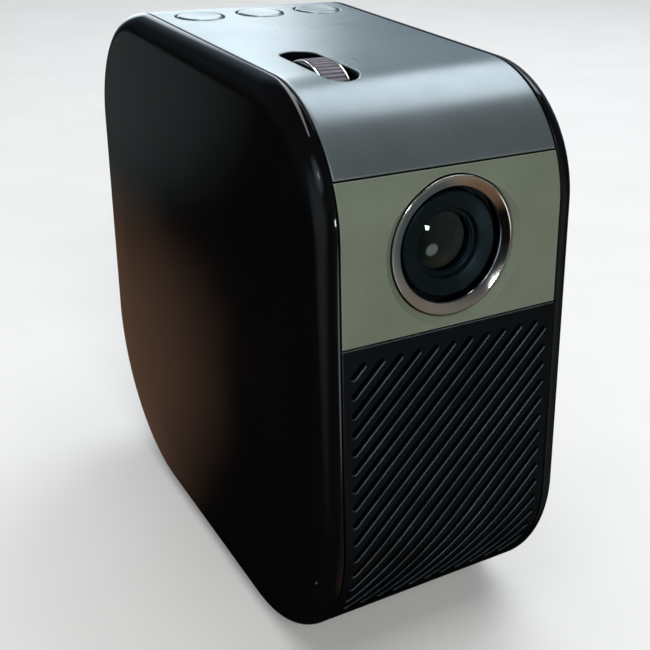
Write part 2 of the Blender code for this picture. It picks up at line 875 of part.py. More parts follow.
def lens_guide():
    bore = BARREL_RADIUS + RUN_GAP
    front = -RING_RECESS - RING_LENGTH - GAP
    back = front - BARREL_LENGTH + 2 * MM
    profile = [(GUIDE_RADIUS, front), (GUIDE_RADIUS, back), (bore, back), (bore, front)]
    guide = turned("lens_guide", profile, True, BLACK_PLASTIC, lens_place(), 40)
    slit = box(
        "rack_slit",
        (RACK_WIDTH + 4 * RUN_GAP, BARREL_RADIUS, 4 * BARREL_LENGTH),
        None,
        lens_place(0, BARREL_RADIUS * 1.2, PINION_X),
    )
    cut(guide, slit)
    return guide


# ---------------------------------------------------------------- buttons

def button_places():
    return [
        ("left", -BUTTON_SPACING),
        ("middle", 0.0),
        ("right", BUTTON_SPACING),
    ]


def top_buttons():
    top = BUTTON_PROUD
    under = -PANEL_WALL - GAP
    flange = under - 1.4 * MM
    stem = flange - 2.2 * MM
    profile = [
        (0, top),
        (BUTTON_RADIUS - 0.6 * MM, top),
        (BUTTON_RADIUS, top - 0.4 * MM),
        (BUTTON_RADIUS, under),
        (BUTTON_RADIUS + BUTTON_FLANGE, under),
        (BUTTON_RADIUS + BUTTON_FLANGE, flange),
        (BUTTON_STEM, flange),
        (BUTTON_STEM, stem),
        (0, stem),
    ]
    for label, x in button_places():
        place = at(x, BUTTON_Y, FLOOR + BODY_HEIGHT)
        button = turned(f"top_button_{label}", profile, False, SATIN_GREY, place)
        parent_to(button, joint_axis(f"press_axis_{label}", place))
    return stem


def button_board(stem):
    switch_top = FLOOR + BODY_HEIGHT + stem - BUTTON_TRAVEL - GAP / 2
    board_top = switch_top - SWITCH_HEIGHT
    width = 2 * BUTTON_SPACING + 4 * BUTTON_STEM + 8 * MM
    board = box(
        "button_board",
        (width, 18 * MM, BOARD_THICKNESS),
        CIRCUIT_GREEN,
        at(0, BUTTON_Y, board_top - BOARD_THICKNESS / 2),
    )
    for label, x in button_places():
        switch = box(
            "switch_" + label,
            (6 * MM, 6 * MM, SWITCH_HEIGHT + BOARD_THICKNESS / 2),
            None,
            at(x, BUTTON_Y, switch_top - (SWITCH_HEIGHT + BOARD_THICKNESS / 2) / 2),
        )
        join(board, switch)
    return board


# ---------------------------------------------------------------- light engine and cooling

def engine_middle_y():
    # The housing stands behind the barrel's lowest corner when the barrel is fully back.
    reach = (BARREL_FRONT + BARREL_LENGTH + FOCUS_TRAVEL) * math.cos(LEAN_ANGLE)
    corner = BARREL_RADIUS * math.sin(LEAN_ANGLE)
    return front_face_y(LENS_HEIGHT) + reach + corner + GAP + ENGINE_DEPTH / 2


def light_engine_housing():
    housing = box(
        "light_engine_housing",
        (ENGINE_WIDTH, ENGINE_DEPTH, ENGINE_HEIGHT),
        BLACK_PLASTIC,
        at(0, engine_middle_y(), FLOOR + ENGINE_TOP - ENGINE_HEIGHT / 2),
    )
    round_edges(housing, 1.2 * MM)
    throat = cylinder(
        "light_throat",
        BARREL_RADIUS - BARREL_WALL,
        24 * MM,
        None,
        lens_place(BARREL_FRONT + BARREL_LENGTH + 6 * MM),
        24,
    )
    cut(housing, throat)
    return housing


def led_modules():
    rear = engine_middle_y() + ENGINE_DEPTH / 2 + GAP
    for index, (label, colour) in enumerate((("red", LED_RED), ("green", LED_GREEN), ("blue", LED_BLUE))):
        x = (index - 1) * (LED_SIZE + LED_SPACING)
        box(
            "led_module_" + label,
            (LED_SIZE, LED_DEPTH, LED_SIZE),
            colour,
            at(x, rear + LED_DEPTH / 2, FLOOR + ENGINE_TOP - ENGINE_HEIGHT / 2),
        )
    return rear + LED_DEPTH + GAP


def mirror_chip_board():
    board = box(
        "mirror_chip_board",
        (ENGINE_WIDTH * 0.7, ENGINE_DEPTH * 0.6, BOARD_THICKNESS),
        CIRCUIT_GREEN,
        at(
            0,
            engine_middle_y(),
            FLOOR + ENGINE_TOP - ENGINE_HEIGHT - GAP - BOARD_THICKNESS / 2,
        ),
    )
    return board


def heat_sink(front):
    # A comb seen from above, extruded upwards, with its back plate towards the lamps.
    gap = (SINK_WIDTH - FIN_THICKNESS) / (SINK_FINS - 1)
    points = [(-SINK_WIDTH / 2, front)]
    for fin in range(SINK_FINS):
        x = -SINK_WIDTH / 2 + fin * gap
        if fin:
            points.append((x, front + SINK_BASE))
        points.append((x, front + SINK_DEPTH))
        points.append((x + FIN_THICKNESS, front + SINK_DEPTH))
        if fin < SINK_FINS - 1:
            points.append((x + FIN_THICKNESS, front + SINK_BASE))
    points.append((SINK_WIDTH / 2, front))
    height = FLOOR + ENGINE_TOP - ENGINE_HEIGHT / 2
    return flat_outline("heat_sink", points, SINK_HEIGHT, ALUMINIUM, at(0, 0, height))


def fan_place():
    return at(0, REAR_Y - INSIDE - FAN_DEPTH / 2 - GAP, FLOOR + FAN_HEIGHT) @ FACING_REAR


def fan_frame():
    place = fan_place()
    frame = box("fan_frame", (FAN_SIZE, FAN_SIZE, FAN_DEPTH), BLACK_PLASTIC, place)
    bore_radius = FAN_SIZE / 2 - FAN_BORE_WALL
    bore = cylinder("fan_bore", bore_radius, 2 * FAN_DEPTH, None, place, 40)
    cut(frame, bore)
    back = place @ at(0, 0, FAN_PLATE / 2 - FAN_DEPTH / 2)
    for index in range(3):
        turn = Matrix.Rotation(math.radians(60 * index + 15), 4, "Z")
        size = (FAN_SIZE - FAN_BORE_WALL, STRUT_WIDTH, FAN_PLATE)
        strut = box(f"fan_strut_{index}", size, None, back @ turn)
        join(frame, strut)
    seat = cylinder("fan_seat", FAN_HUB_RADIUS, FAN_PLATE, None, back, 24)
    join(frame, seat)
    return frame


def fan_rotor():
    depth = FAN_DEPTH - FAN_PLATE - 2 * RUN_GAP
    place = fan_place() @ at(0, 0, FAN_PLATE / 2)
    rotor = cylinder("fan_rotor", FAN_HUB_RADIUS, depth, BLACK_PLASTIC, place, 24)
    reach = FAN_SIZE / 2 - FAN_BORE_WALL - 2 * RUN_GAP
    inner = FAN_HUB_RADIUS * 0.85
    chord = depth * 0.9 / math.sin(math.radians(BLADE_TWIST + 20))
    for index in range(FAN_BLADES):
        turn = Matrix.Rotation(2 * math.pi * index / FAN_BLADES, 4, "Z")
        tilt = Matrix.Rotation(math.radians(BLADE_TWIST), 4, "X")
        blade = box(
            f"fan_blade_{index}",
            (reach - inner - 0.4 * MM, chord * 0.8, BLADE_THICKNESS),
            None,
            place @ turn @ at((reach + inner) / 2 - 0.2 * MM, 0, 0) @ tilt,
        )
        join(rotor, blade)
    parent_to(rotor, joint_axis("fan_axis", place))
    return rotor


# ---------------------------------------------------------------- boards, battery, speaker

def main_board():
    rear = REAR_Y - INSIDE - GAP
    middle = (MAIN_BOARD_FRONT + rear) / 2
    height = FLOOR + MAIN_BOARD_HEIGHT
    board = box(
        "main_board",
        (MAIN_BOARD_WIDTH, rear - MAIN_BOARD_FRONT, BOARD_THICKNESS),
        CIRCUIT_GREEN,
        at(0, middle, height),
    )
    chips = ((-12, -8, 15), (10, 6, 12), (-8, 22, 10))
    for index, (x, y, side) in enumerate(chips):
        chip = box(
            f"chip_{index}",
            (side * MM, side * MM, 2.4 * MM),
            None,
            at(x * MM, y * MM, height + BOARD_THICKNESS / 2 + 0.6 * MM),
        )
        join(board, chip)
    return board


def battery_pack():
    reach = BATTERY_WIDTH / 2 - BATTERY_CELL_RADIUS
    points = []
    for end in (1, -1):
        for step in range(9):
            angle = math.pi * step / 8 - math.pi / 2 + (0 if end > 0 else math.pi)
            x, z = on_circle(BATTERY_CELL_RADIUS, angle)
            points.append((end * reach + x, z))
    height = FLOOR + FRAME_FLOOR - GAP - BATTERY_CELL_RADIUS
    place = at(0, 0, height) @ Matrix.Rotation(math.pi / 2, 4, "X")
    return flat_outline("battery_pack", points, BATTERY_LENGTH, BATTERY_BLUE, place)


def speaker_place(depth):
    y = front_face_y(SPEAKER_HEIGHT) + INSIDE + 1.5 * MM
    turn = Matrix.Rotation(math.pi / 2, 4, "X")
    return at(0, y, FLOOR + SPEAKER_HEIGHT) @ turn @ at(0, 0, -depth)


def speaker():
    rim = SPEAKER_RADIUS
    basket = [
        (rim - 2.4 * MM, 0),
        (rim, 0),
        (rim, -2 * MM),
        (rim - 4 * MM, -2 * MM),
        (MAGNET_RADIUS, -SPEAKER_DEPTH * 0.55),
        (MAGNET_RADIUS * 0.6, -SPEAKER_DEPTH * 0.55),
        (MAGNET_RADIUS * 0.6, -SPEAKER_DEPTH * 0.55 + SHEET),
        (MAGNET_RADIUS - 0.3 * MM, -SPEAKER_DEPTH * 0.55 + SHEET),
        (rim - 4.6 * MM, -0.8 * MM),
        (rim - 2.4 * MM, -0.8 * MM),
    ]
    turned("speaker_basket", basket, True, STEEL, speaker_place(0), ROUND)
    turned("speaker_cone", cone_profile(rim), False, BLACK_PLASTIC, speaker_place(0), ROUND)
    magnet = [
        (0, 0),
        (MAGNET_RADIUS, 0),
        (MAGNET_RADIUS, -SPEAKER_DEPTH * 0.4),
        (0, -SPEAKER_DEPTH * 0.4),
    ]
    depth = SPEAKER_DEPTH * 0.55 + GAP
    turned("speaker_magnet", magnet, False, STEEL, speaker_place(depth), 24)


def cone_profile(rim):
    # A thin dish with a small dome in its middle.
    outer = rim - 5 * MM
    thickness = 0.6 * MM
    front = [
        (0, -2.4 * MM),
        (2.6 * MM, -2.9 * MM),
        (3.6 * MM, -SPEAKER_DEPTH * 0.32),
        (outer, 0),
    ]
    back = [(radius, height - thickness) for radius, height in reversed(front)]
    return front + back


def inner_frame():
    width = BAND_WIDTH - 2 * GAP
    depth = FRAME_REAR - FRAME_FRONT
    floor = FLOOR + FRAME_FLOOR
    top = FLOOR + BODY_HEIGHT - INSIDE - 8 * MM
    frame = box(
        "inner_frame",
        (width, depth, top - floor),
        STEEL,
        at(0, (FRAME_FRONT + FRAME_REAR) / 2, (floor + top) / 2),
    )
    inside = box(
        "frame_inside",
        (width - 2 * FRAME_WALL, 2 * depth, top - floor),
        None,
        at(0, 0, (floor + top) / 2 + FRAME_WALL),
    )
    cut(frame, inside)
    window = box(
        "frame_window",
        (2 * width, depth * 0.6, (top - floor) * 0.3),
        None,
        at(0, (FRAME_FRONT + FRAME_REAR) / 2, floor + (top - floor) * 0.45),
    )
    cut(frame, window)
    post_bottom = FLOOR + PANEL_WALL + GAP
    height = floor + FRAME_WALL / 2 - post_bottom
    for label, x, y in screw_places():
        post = cylinder(
            "post_" + label, POST_RADIUS, height, None, at(x, y, post_bottom + height / 2)
        )
        join(frame, post)
        bore = cylinder(
            "post_bore_" + label, SCREW_RADIUS + GAP, 20 * MM, None, at(x, y, post_bottom)
        )
        cut(frame, bore)
    return frame


# ---------------------------------------------------------------- base and sockets

def screw_places():
    places = []
    for end, y in (("front", SCREW_FRONT_Y), ("rear", SCREW_REAR_Y)):
        for side, x in (("left", -SCREW_X), ("right", SCREW_X)):
            places.append((f"{end}_{side}", x, y))
    return places


def base_screws():
    head = PANEL_WALL / 2 - GAP
    recess = 0.5 * MM
    profile = [
        (0, 9 * MM),
        (SCREW_RADIUS, 9 * MM),
        (SCREW_RADIUS, head),
        (SCREW_HEAD_RADIUS, head),
        (SCREW_HEAD_RADIUS, 0.2 * MM),
        (SCREW_HEAD_RADIUS * 0.45, 0.2 * MM),
        (SCREW_HEAD_RADIUS * 0.35, 0.2 * MM + recess),
        (0, 0.2 * MM + recess),
    ]
    for label, x, y in screw_places():
        turned(f"base_screw_{label}", profile, False, STEEL, at(x, y, FLOOR), SMALL_ROUND)


def tripod_insert():
    top = TRIPOD_LENGTH
    profile = [
        (TRIPOD_RADIUS, top),
        (TRIPOD_RADIUS, 0),
        (TRIPOD_BORE, 0),
        (TRIPOD_BORE, top),
    ]
    return turned("tripod_insert", profile, True, BRASS, at(0, TRIPOD_Y, FLOOR), 24)


def socket_place(x, height=SOCKET_HEIGHT):
    return at(x, REAR_Y - SOCKET_DEPTH / 2 - 0.4 * MM, FLOOR + height)


def flat_socket(name, x, opening, tongue, tongue_up):
    place = socket_place(x)
    shell = box(
        name,
        (opening[0] + 2 * SOCKET_SHELL, SOCKET_DEPTH, opening[1] + 2 * SOCKET_SHELL),
        CHROME,
        place,
    )
    mouth_depth = SOCKET_DEPTH - 2 * SOCKET_SHELL
    mouth = box(
        name + "_mouth",
        (opening[0], 2 * mouth_depth, opening[1]),
        None,
        place @ at(0, SOCKET_DEPTH / 2, 0),
    )
    cut(shell, mouth)
    blade = box(
        name + "_tongue",
        (tongue[0], SOCKET_DEPTH - 2 * SOCKET_SHELL, tongue[1]),
        None,
        place @ at(0, -SOCKET_SHELL, tongue_up),
    )
    join(shell, blade)
    return shell


def round_socket(name, x, radius, body_radius, pin, material):
    half = SOCKET_DEPTH / 2
    bottom = 1 * MM - half
    bore = [
        (body_radius, half),
        (body_radius, -half),
        (0, -half),
    ]
    inside = [(radius, bottom), (radius, half)]
    if pin:
        inside = [(0, half - 1.5 * MM), (pin, half - 1.5 * MM), (pin, bottom), *inside]
    else:
        inside = [(0, bottom), *inside]
    profile = inside + bore
    place = socket_place(x) @ FACING_REAR
    return turned(name, profile, False, material, place, 24)


def ir_window():
    length = PANEL_WALL
    place = at(0, REAR_Y - 0.6 * MM - length / 2, FLOOR + IR_HEIGHT) @ FACING_REAR
    return cylinder("ir_window", IR_RADIUS, length, IR_RED, place, 24)


# ---------------------------------------------------------------- assembly

def build_focus_gear():
    wheel_y, wheel_z = wheel_centre()
    axis = joint_axis("focus_axis", at(WHEEL_X, wheel_y, wheel_z))
    for piece in (focus_wheel_hub(), focus_wheel_tyre(), focus_axle()):
        parent_to(piece, axis)
    focus_bracket()


def build_lens():
    slide = joint_axis("lens_slide", lens_place())
    glass_depth = BARREL_FRONT + HOOD_DEPTH + GAP
    moving = (
        lens_barrel(),
        focus_rack(),
        glass_lens("front_lens", glass_depth, 1.2 * MM),
        glass_lens("rear_lens", BARREL_FRONT + REAR_LENS_SETBACK, 0.8 * MM),
    )
    for piece in moving:
        parent_to(piece, slide)
    lens_guide()


def build_casing():
    side_cover("left_side_cover", -1)
    side_cover("right_side_cover", 1)
    top_band()
    lens_panel()
    front_grille()
    rear_panel()
    bottom_plate()
    lens_trim_ring()
    feet()
    base_screws()
    tripod_insert()
    inner_frame()


def build_inside():
    stem = top_buttons()
    button_board(stem)
    light_engine_housing()
    mirror_chip_board()
    heat_sink(led_modules())
    fan_frame()
    fan_rotor()
    main_board()
    battery_pack()
    speaker()


def build_sockets():
    flat_socket("hdmi_socket", HDMI_X, HDMI_OPENING, HDMI_TONGUE, 0)
    flat_socket("usb_socket", USB_X, USB_OPENING, USB_TONGUE, 1 * MM)
    round_socket("dc_socket", DC_X, DC_RADIUS, DC_BODY_RADIUS, 1 * MM, BLACK_PLASTIC)
    round_socket("audio_socket", AUDIO_X, AUDIO_RADIUS, AUDIO_BODY_RADIUS, None, BLACK_PLASTIC)
    ir_window()


clear_scene()
PARTS = new_collection("home_projector")
CUTTERS = new_collection("cutters")

GLOSS_BLACK = make_material("gloss_black_cover", (0.008, 0.008, 0.009), 0.06)
SATIN_GREY = make_material("satin_grey_band", (0.30, 0.34, 0.35), 0.30, 0.7)
OLIVE_GREY = make_material("olive_grey_panel", (0.13, 0.15, 0.11), 0.40, 0.3)
MATTE_BLACK = make_material("matte_black_panels", (0.012, 0.013, 0.015), 0.50)
CHROME = make_material("chrome", (0.75, 0.75, 0.76), 0.08, 1.0)
BLACK_PLASTIC = make_material("black_plastic", (0.015, 0.015, 0.016), 0.45)
GLASS = make_material("lens_glass", (0.55, 0.65, 0.75), 0.03)
RUBBER = make_material("grey_rubber", (0.12, 0.11, 0.13), 0.60)
BRASS = make_material("brass", (0.72, 0.50, 0.20), 0.30, 1.0)
STEEL = make_material("steel", (0.45, 0.46, 0.48), 0.35, 1.0)
ALUMINIUM = make_material("aluminium", (0.70, 0.71, 0.72), 0.35, 1.0)
CIRCUIT_GREEN = make_material("circuit_board", (0.02, 0.16, 0.07), 0.40)
BATTERY_BLUE = make_material("battery_wrap", (0.03, 0.09, 0.30), 0.35)
LED_RED = make_material("red_lamp", (0.6, 0.05, 0.04), 0.30)
LED_GREEN = make_material("green_lamp", (0.05, 0.5, 0.10), 0.30)
LED_BLUE = make_material("blue_lamp", (0.05, 0.12, 0.6), 0.30)
IR_RED = make_material("infrared_window", (0.05, 0.005, 0.008), 0.10)

FACING_REAR = Matrix.Rotation(-math.pi / 2, 4, "X")
SAMPLES = outline_samples()
LENGTHS = run_lengths(SAMPLES)
FLAT_START = LENGTHS[ARC_STEPS + 1]
FLAT_END = LENGTHS[ARC_STEPS + 2]
REAR_SPLIT = crossing(1, FLOOR + REAR_PANEL_TOP, 0, 1)
LENS_SPLIT = crossing(1, FLOOR + LENS_PANEL_TOP, 0, -1)

build_casing()
build_focus_gear()
build_lens()
build_inside()
build_sockets()
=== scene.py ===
import math

import bmesh
import bpy
from mathutils import Matrix, Vector


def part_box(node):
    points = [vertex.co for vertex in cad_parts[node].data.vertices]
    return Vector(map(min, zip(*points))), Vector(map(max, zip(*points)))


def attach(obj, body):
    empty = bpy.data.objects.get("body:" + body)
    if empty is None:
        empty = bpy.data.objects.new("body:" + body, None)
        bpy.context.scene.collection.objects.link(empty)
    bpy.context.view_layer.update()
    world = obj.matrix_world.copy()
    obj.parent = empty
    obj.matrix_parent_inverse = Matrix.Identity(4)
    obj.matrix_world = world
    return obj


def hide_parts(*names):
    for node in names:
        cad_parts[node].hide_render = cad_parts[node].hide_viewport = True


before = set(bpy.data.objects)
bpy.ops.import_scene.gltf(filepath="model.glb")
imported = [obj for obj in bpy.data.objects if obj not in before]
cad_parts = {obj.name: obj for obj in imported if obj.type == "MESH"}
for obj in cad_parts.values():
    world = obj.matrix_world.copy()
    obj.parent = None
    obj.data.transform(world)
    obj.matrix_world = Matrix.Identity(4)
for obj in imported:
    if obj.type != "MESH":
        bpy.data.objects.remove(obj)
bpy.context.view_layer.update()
mm = 0.001
weld = 0.002 * mm     # points nearer than this become one
sharpAngle = 35       # degrees, where shading breaks
print("frame loaded:", len(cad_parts), "nodes")

# the camera comes first; this projector has no cord
view = {
    "place": (-132.33, -254.44, 206.53),   # mm
    "turn": (1.12377, -0.03901, -0.54899),
    "focalLength": 58.4,                   # mm
    "sensorWidth": 36,                     # mm
    "shift": (-0.1077, -0.0145),
    "clipStart": 0.01,                     # m
}


def setCamera():
    data = bpy.data.cameras.new("camera")
    data.lens = view["focalLength"]
    data.sensor_width = view["sensorWidth"]
    data.shift_x, data.shift_y = view["shift"]
    data.clip_start = view["clipStart"]
    camera = bpy.data.objects.new("camera", data)
    camera.location = Vector(view["place"]) * mm
    camera.rotation_euler = view["turn"]
    bpy.context.scene.collection.objects.link(camera)
    bpy.context.scene.camera = camera


setCamera()


def linear(hexColour):
    parts = [int(hexColour[i:i + 2], 16) / 255 for i in (1, 3, 5)]
    return [c / 12.92 if c <= 0.04045 else ((c + 0.055) / 1.055) ** 2.4 for c in parts] + [1.0]


def addNode(tree, kind, settings=None, links=None):
    # settings are the node's own options, its sockets' values, or a ramp's stops
    node = tree.nodes.new(kind)
    for key, value in (settings or {}).items():
        if key == "stops":
            while len(node.color_ramp.elements) < len(value):
                node.color_ramp.elements.new(0.5)
            for element, (place, colour) in zip(node.color_ramp.elements, value):
                element.position = place
                element.color = linear(colour)
        elif isinstance(key, str) and hasattr(node, key):
            setattr(node, key, value)
        else:
            node.inputs[key].default_value = value
    for key, source in (links or {}).items():
        tree.links.new(source, node.inputs[key])
    return node


def perMetre(size):
    # noise and cell textures repeat once per unit, so a size in mm becomes cells per metre
    return 1 / (size * mm)


def newTree(name):
    material = bpy.data.materials.new(name)
    material.use_nodes = True
    tree = material.node_tree
    shader = tree.nodes["Principled BSDF"]
    place = addNode(tree, "ShaderNodeTexCoord").outputs["Object"]
    return material, tree, shader, place


def setSockets(shader, values):
    for name, value in values.items():
        shader.inputs[name].default_value = value


# what all finishes share
surface = {
    "patchStops": (0.35, 0.68), "patchDetail": 4.0, "patchRoughness": 0.6,
    "bevelSamples": 4,
    "rubAndHighlightStarts": 0.995, "rubAndHighlightFull": 0.90,     # cosine between the softened and the true normal
    "dustFacing": (0.10, 0.35),              # how far up an edge faces before the painted highlight lies on it
    "dustColour": "#8C877E",
    "smudgeDetail": 3.0, "smudgeDistortion": 0.3, "smudgeStops": (0.32, 0.70),
    "grainDetail": 2.0,
}


def makeFinish(name, look):
    # one finish: two close colours in soft patches, a fine grain, paler edges that are partly
    # rubbed wear and partly a painted edge highlight, a painted highlight on up-facing edges where
    # asked, dust specks and smudges
    material, tree, shader, place = newTree(name)
    stretched = addNode(
        tree, "ShaderNodeMapping", {"Scale": look.get("stretch", (1, 1, 1))}, {"Vector": place}
    ).outputs["Vector"]
    patches = addNode(
        tree, "ShaderNodeTexNoise",
        {
            "Scale": perMetre(look["patchSize"]), "Detail": surface["patchDetail"],
            "Roughness": surface["patchRoughness"],
        },
        {"Vector": stretched},
    )
    stops = zip(surface["patchStops"], (look["colour"], look["colourTwo"]))
    patchMix = addNode(
        tree, "ShaderNodeValToRGB", {"stops": list(stops)}, {"Fac": patches.outputs["Fac"]}
    )
    colour = patchMix.outputs["Color"]
    if "edgeColour" in look:
        # paler edges where a softened normal leaves the true one: rubbed wear, and on the silver
        # band, the polycarbonate and the anodised metal also a painted edge highlight
        soft = addNode(
            tree, "ShaderNodeBevel",
            {"samples": surface["bevelSamples"], "Radius": look["edgeSize"] * mm},
        )
        true = addNode(tree, "ShaderNodeNewGeometry")
        turn = addNode(
            tree, "ShaderNodeVectorMath", {"operation": "DOT_PRODUCT"},
            {0: soft.outputs["Normal"], 1: true.outputs["Normal"]},
        )
        rubAndHighlight = addNode(
            tree, "ShaderNodeMapRange",
            {
                "From Min": surface["rubAndHighlightStarts"], "From Max": surface["rubAndHighlightFull"],
                "To Max": look["edgeRubAndHighlight"],
            },
            {"Value": turn.outputs["Value"]},
        )
        broken = addNode(
            tree, "ShaderNodeMath", {"operation": "MULTIPLY"},
            {0: rubAndHighlight.outputs["Result"], 1: patches.outputs["Fac"]},
        )
        if look.get("upEdgeHighlight"):
            # the painted edge highlight lies only on edges that face up, where light from above
            # would catch them
            least, most = surface["dustFacing"]
            facing = addNode(
                tree, "ShaderNodeSeparateXYZ", None, {"Vector": soft.outputs["Normal"]}
            )
            upward = addNode(
                tree, "ShaderNodeMapRange", {"From Min": least, "From Max": most},
                {"Value": facing.outputs["Z"]},
            )
            broken = addNode(
                tree, "ShaderNodeMath", {"operation": "MULTIPLY"},
                {0: broken.outputs["Value"], 1: upward.outputs["Result"]},
            )
        edge = addNode(
            tree, "ShaderNodeMix", {"data_type": "RGBA"},
            {0: broken.outputs["Value"], 6: colour},
        )
        edge.inputs[7].default_value = linear(look["edgeColour"])
        colour = edge.outputs[2]
    if "dust" in look:
        # a few pale specks, each a small cell's middle
        cells = addNode(
            tree, "ShaderNodeTexVoronoi", {"Scale": perMetre(look["dustSpacing"])},
            {"Vector": place},
        )
        speck = addNode(
            tree, "ShaderNodeMapRange",
            {"From Min": look["dustSize"] / look["dustSpacing"], "From Max": 0.0},
            {"Value": cells.outputs["Distance"]},
        )
        thin = addNode(
            tree, "ShaderNodeMath", {"operation": "GREATER_THAN", 1: 1 - look["dust"]},
            {0: cells.outputs["Color"]},
        )
        shown = addNode(
            tree, "ShaderNodeMath", {"operation": "MULTIPLY"},
            {0: speck.outputs["Result"], 1: thin.outputs["Value"]},
        )
        dusty = addNode(
            tree, "ShaderNodeMix", {"data_type": "RGBA"}, {0: shown.outputs["Value"], 6: colour}
        )
        dusty.inputs[7].default_value = linear(surface["dustColour"])
        colour = dusty.outputs[2]
    tree.links.new(colour, shader.inputs["Base Color"])
    smudge = addNode(
        tree, "ShaderNodeTexNoise",
        {
            "Scale": perMetre(look["smudgeSize"]), "Detail": surface["smudgeDetail"],
            "Distortion": surface["smudgeDistortion"],
        },
        {"Vector": stretched},
    )
    clean, smeared = surface["smudgeStops"]
    low, high = look["roughness"]
    rough = addNode(
        tree, "ShaderNodeMapRange",
        {"From Min": clean, "From Max": smeared, "To Min": low, "To Max": high},
        {"Value": smudge.outputs["Fac"]},
    )
    tree.links.new(rough.outputs["Result"], shader.inputs["Roughness"])
    grain = addNode(
        tree, "ShaderNodeTexNoise",
        {"Scale": perMetre(look["grainSize"]), "Detail": surface["grainDetail"]},
        {"Vector": stretched},
    )
    bump = addNode(
        tree, "ShaderNodeBump",
        {"Strength": look["grainStrength"], "Distance": look["grainDepth"] * mm},
        {"Height": grain.outputs["Fac"]},
    )
    if "waveSize" in look:
        # the slow unevenness of a large moulded face
        wave = addNode(
            tree, "ShaderNodeTexNoise", {"Scale": perMetre(look["waveSize"]), "Detail": 0.0},
            {"Vector": place},
        )
        bump = addNode(
            tree, "ShaderNodeBump",
            {"Strength": look["waveStrength"], "Distance": look["waveDepth"] * mm},
            {"Height": wave.outputs["Fac"], "Normal": bump.outputs["Normal"]},
        )
    tree.links.new(bump.outputs["Normal"], shader.inputs["Normal"])
    setSockets(shader, look["shader"])
    return material


looks = {}     # sizes in mm

# piano black ABS, moulded in a polished tool: a deep mirror with faint waves, dust and smears
looks["piano_black_abs"] = {
    "colour": "#060606", "colourTwo": "#0A090A", "patchSize": 26,
    "roughness": (0.035, 0.10), "smudgeSize": 22,
    "grainSize": 0.5, "grainDepth": 0.004, "grainStrength": 0.05,
    "waveSize": 30, "waveDepth": 0.10, "waveStrength": 0.06,
    "dust": 0.26, "dustSize": 0.45, "dustSpacing": 8.0,
    "shader": {"IOR": 1.50, "Metallic": 0.0, "Specular IOR Level": 0.42},
}

# ABS with a sprayed aluminium-flake paint, clear coated: soft silver sheen with a fine sparkle
looks["silver_flake_paint"] = {
    "colour": "#848F93", "colourTwo": "#8D989B", "patchSize": 18,
    "roughness": (0.27, 0.31), "smudgeSize": 30,
    "grainSize": 0.25, "grainDepth": 0.006, "grainStrength": 0.20,
    # the paler edges here are partly rubbed wear and partly a painted highlight on the band's
    # rounded rims
    "edgeColour": "#C7CCCD", "edgeSize": 0.4, "edgeRubAndHighlight": 0.5,
    "shader": {"IOR": 1.50, "Metallic": 0.78, "Coat Weight": 0.12, "Coat Roughness": 0.25},
}

# the same paint in olive grey, matter: even, with an almost plain face
looks["olive_grey_paint"] = {
    "colour": "#656E5E", "colourTwo": "#6D7666", "patchSize": 14,
    "roughness": (0.42, 0.52), "smudgeSize": 12,
    "grainSize": 0.22, "grainDepth": 0.012, "grainStrength": 0.25,
    "edgeColour": "#A9B4A8", "edgeSize": 0.4, "edgeRubAndHighlight": 0.8,
    "shader": {"IOR": 1.50, "Metallic": 0.25, "Coat Weight": 0.10, "Coat Roughness": 0.3},
}

# black polycarbonate with a spark-eroded texture: dull, with a painted highlight on the slots'
# lower lips, which face up
looks["textured_polycarbonate"] = {
    "colour": "#040507", "colourTwo": "#06080B", "patchSize": 10,
    "roughness": (0.30, 0.40), "smudgeSize": 12,
    "grainSize": 0.28, "grainDepth": 0.02, "grainStrength": 0.30,
    "edgeColour": "#8C9BA3", "edgeSize": 0.35, "edgeRubAndHighlight": 1.0, "upEdgeHighlight": True,
    "shader": {"IOR": 1.50, "Metallic": 0.0, "Specular IOR Level": 0.16,
               "Specular Tint": linear("#B9D3EA")},
}

# bright chrome plating over ABS: a near mirror with hairline wipes
looks["chrome_plating"] = {
    "colour": "#D9D6D0", "colourTwo": "#E6E3DE", "patchSize": 6,
    "roughness": (0.05, 0.12), "smudgeSize": 5,
    "grainSize": 0.4, "grainDepth": 0.004, "grainStrength": 0.10,
    "shader": {"Metallic": 1.0},
}

# black anodised aluminium, bead blasted: a soft satin black that takes a blue-green cast
looks["black_anodised_aluminium"] = {
    "colour": "#070D0F", "colourTwo": "#0A1214", "patchSize": 5,
    "roughness": (0.26, 0.34), "smudgeSize": 5,
    "grainSize": 0.12, "grainDepth": 0.004, "grainStrength": 0.12,
    # the paler edges here are partly rubbed wear and partly a painted highlight on the baffles'
    # rims
    "edgeColour": "#8B9896", "edgeSize": 0.15, "edgeRubAndHighlight": 0.35,
    "shader": {"Metallic": 0.30, "IOR": 1.5, "Specular Tint": linear("#9FC8DC")},
}

# soft-touch rubber, moulded over the wheel: dusty mauve grey, worn pale on the ribs
looks["wheel_rubber"] = {
    "colour": "#5C5862", "colourTwo": "#6E6A73", "patchSize": 2.5,
    "roughness": (0.50, 0.68), "smudgeSize": 3,
    "grainSize": 0.18, "grainDepth": 0.03, "grainStrength": 0.45,
    "edgeColour": "#9A96A0", "edgeSize": 0.25, "edgeRubAndHighlight": 1.0,
    "shader": {"IOR": 1.52, "Metallic": 0.0},
}

# the feet: black nitrile rubber, dull and lightly dusty
looks["foot_rubber"] = {
    "colour": "#161616", "colourTwo": "#1F1E1D", "patchSize": 3,
    "roughness": (0.72, 0.88), "smudgeSize": 3,
    "grainSize": 0.3, "grainDepth": 0.03, "grainStrength": 0.5,
    "shader": {"IOR": 1.52, "Metallic": 0.0},
}

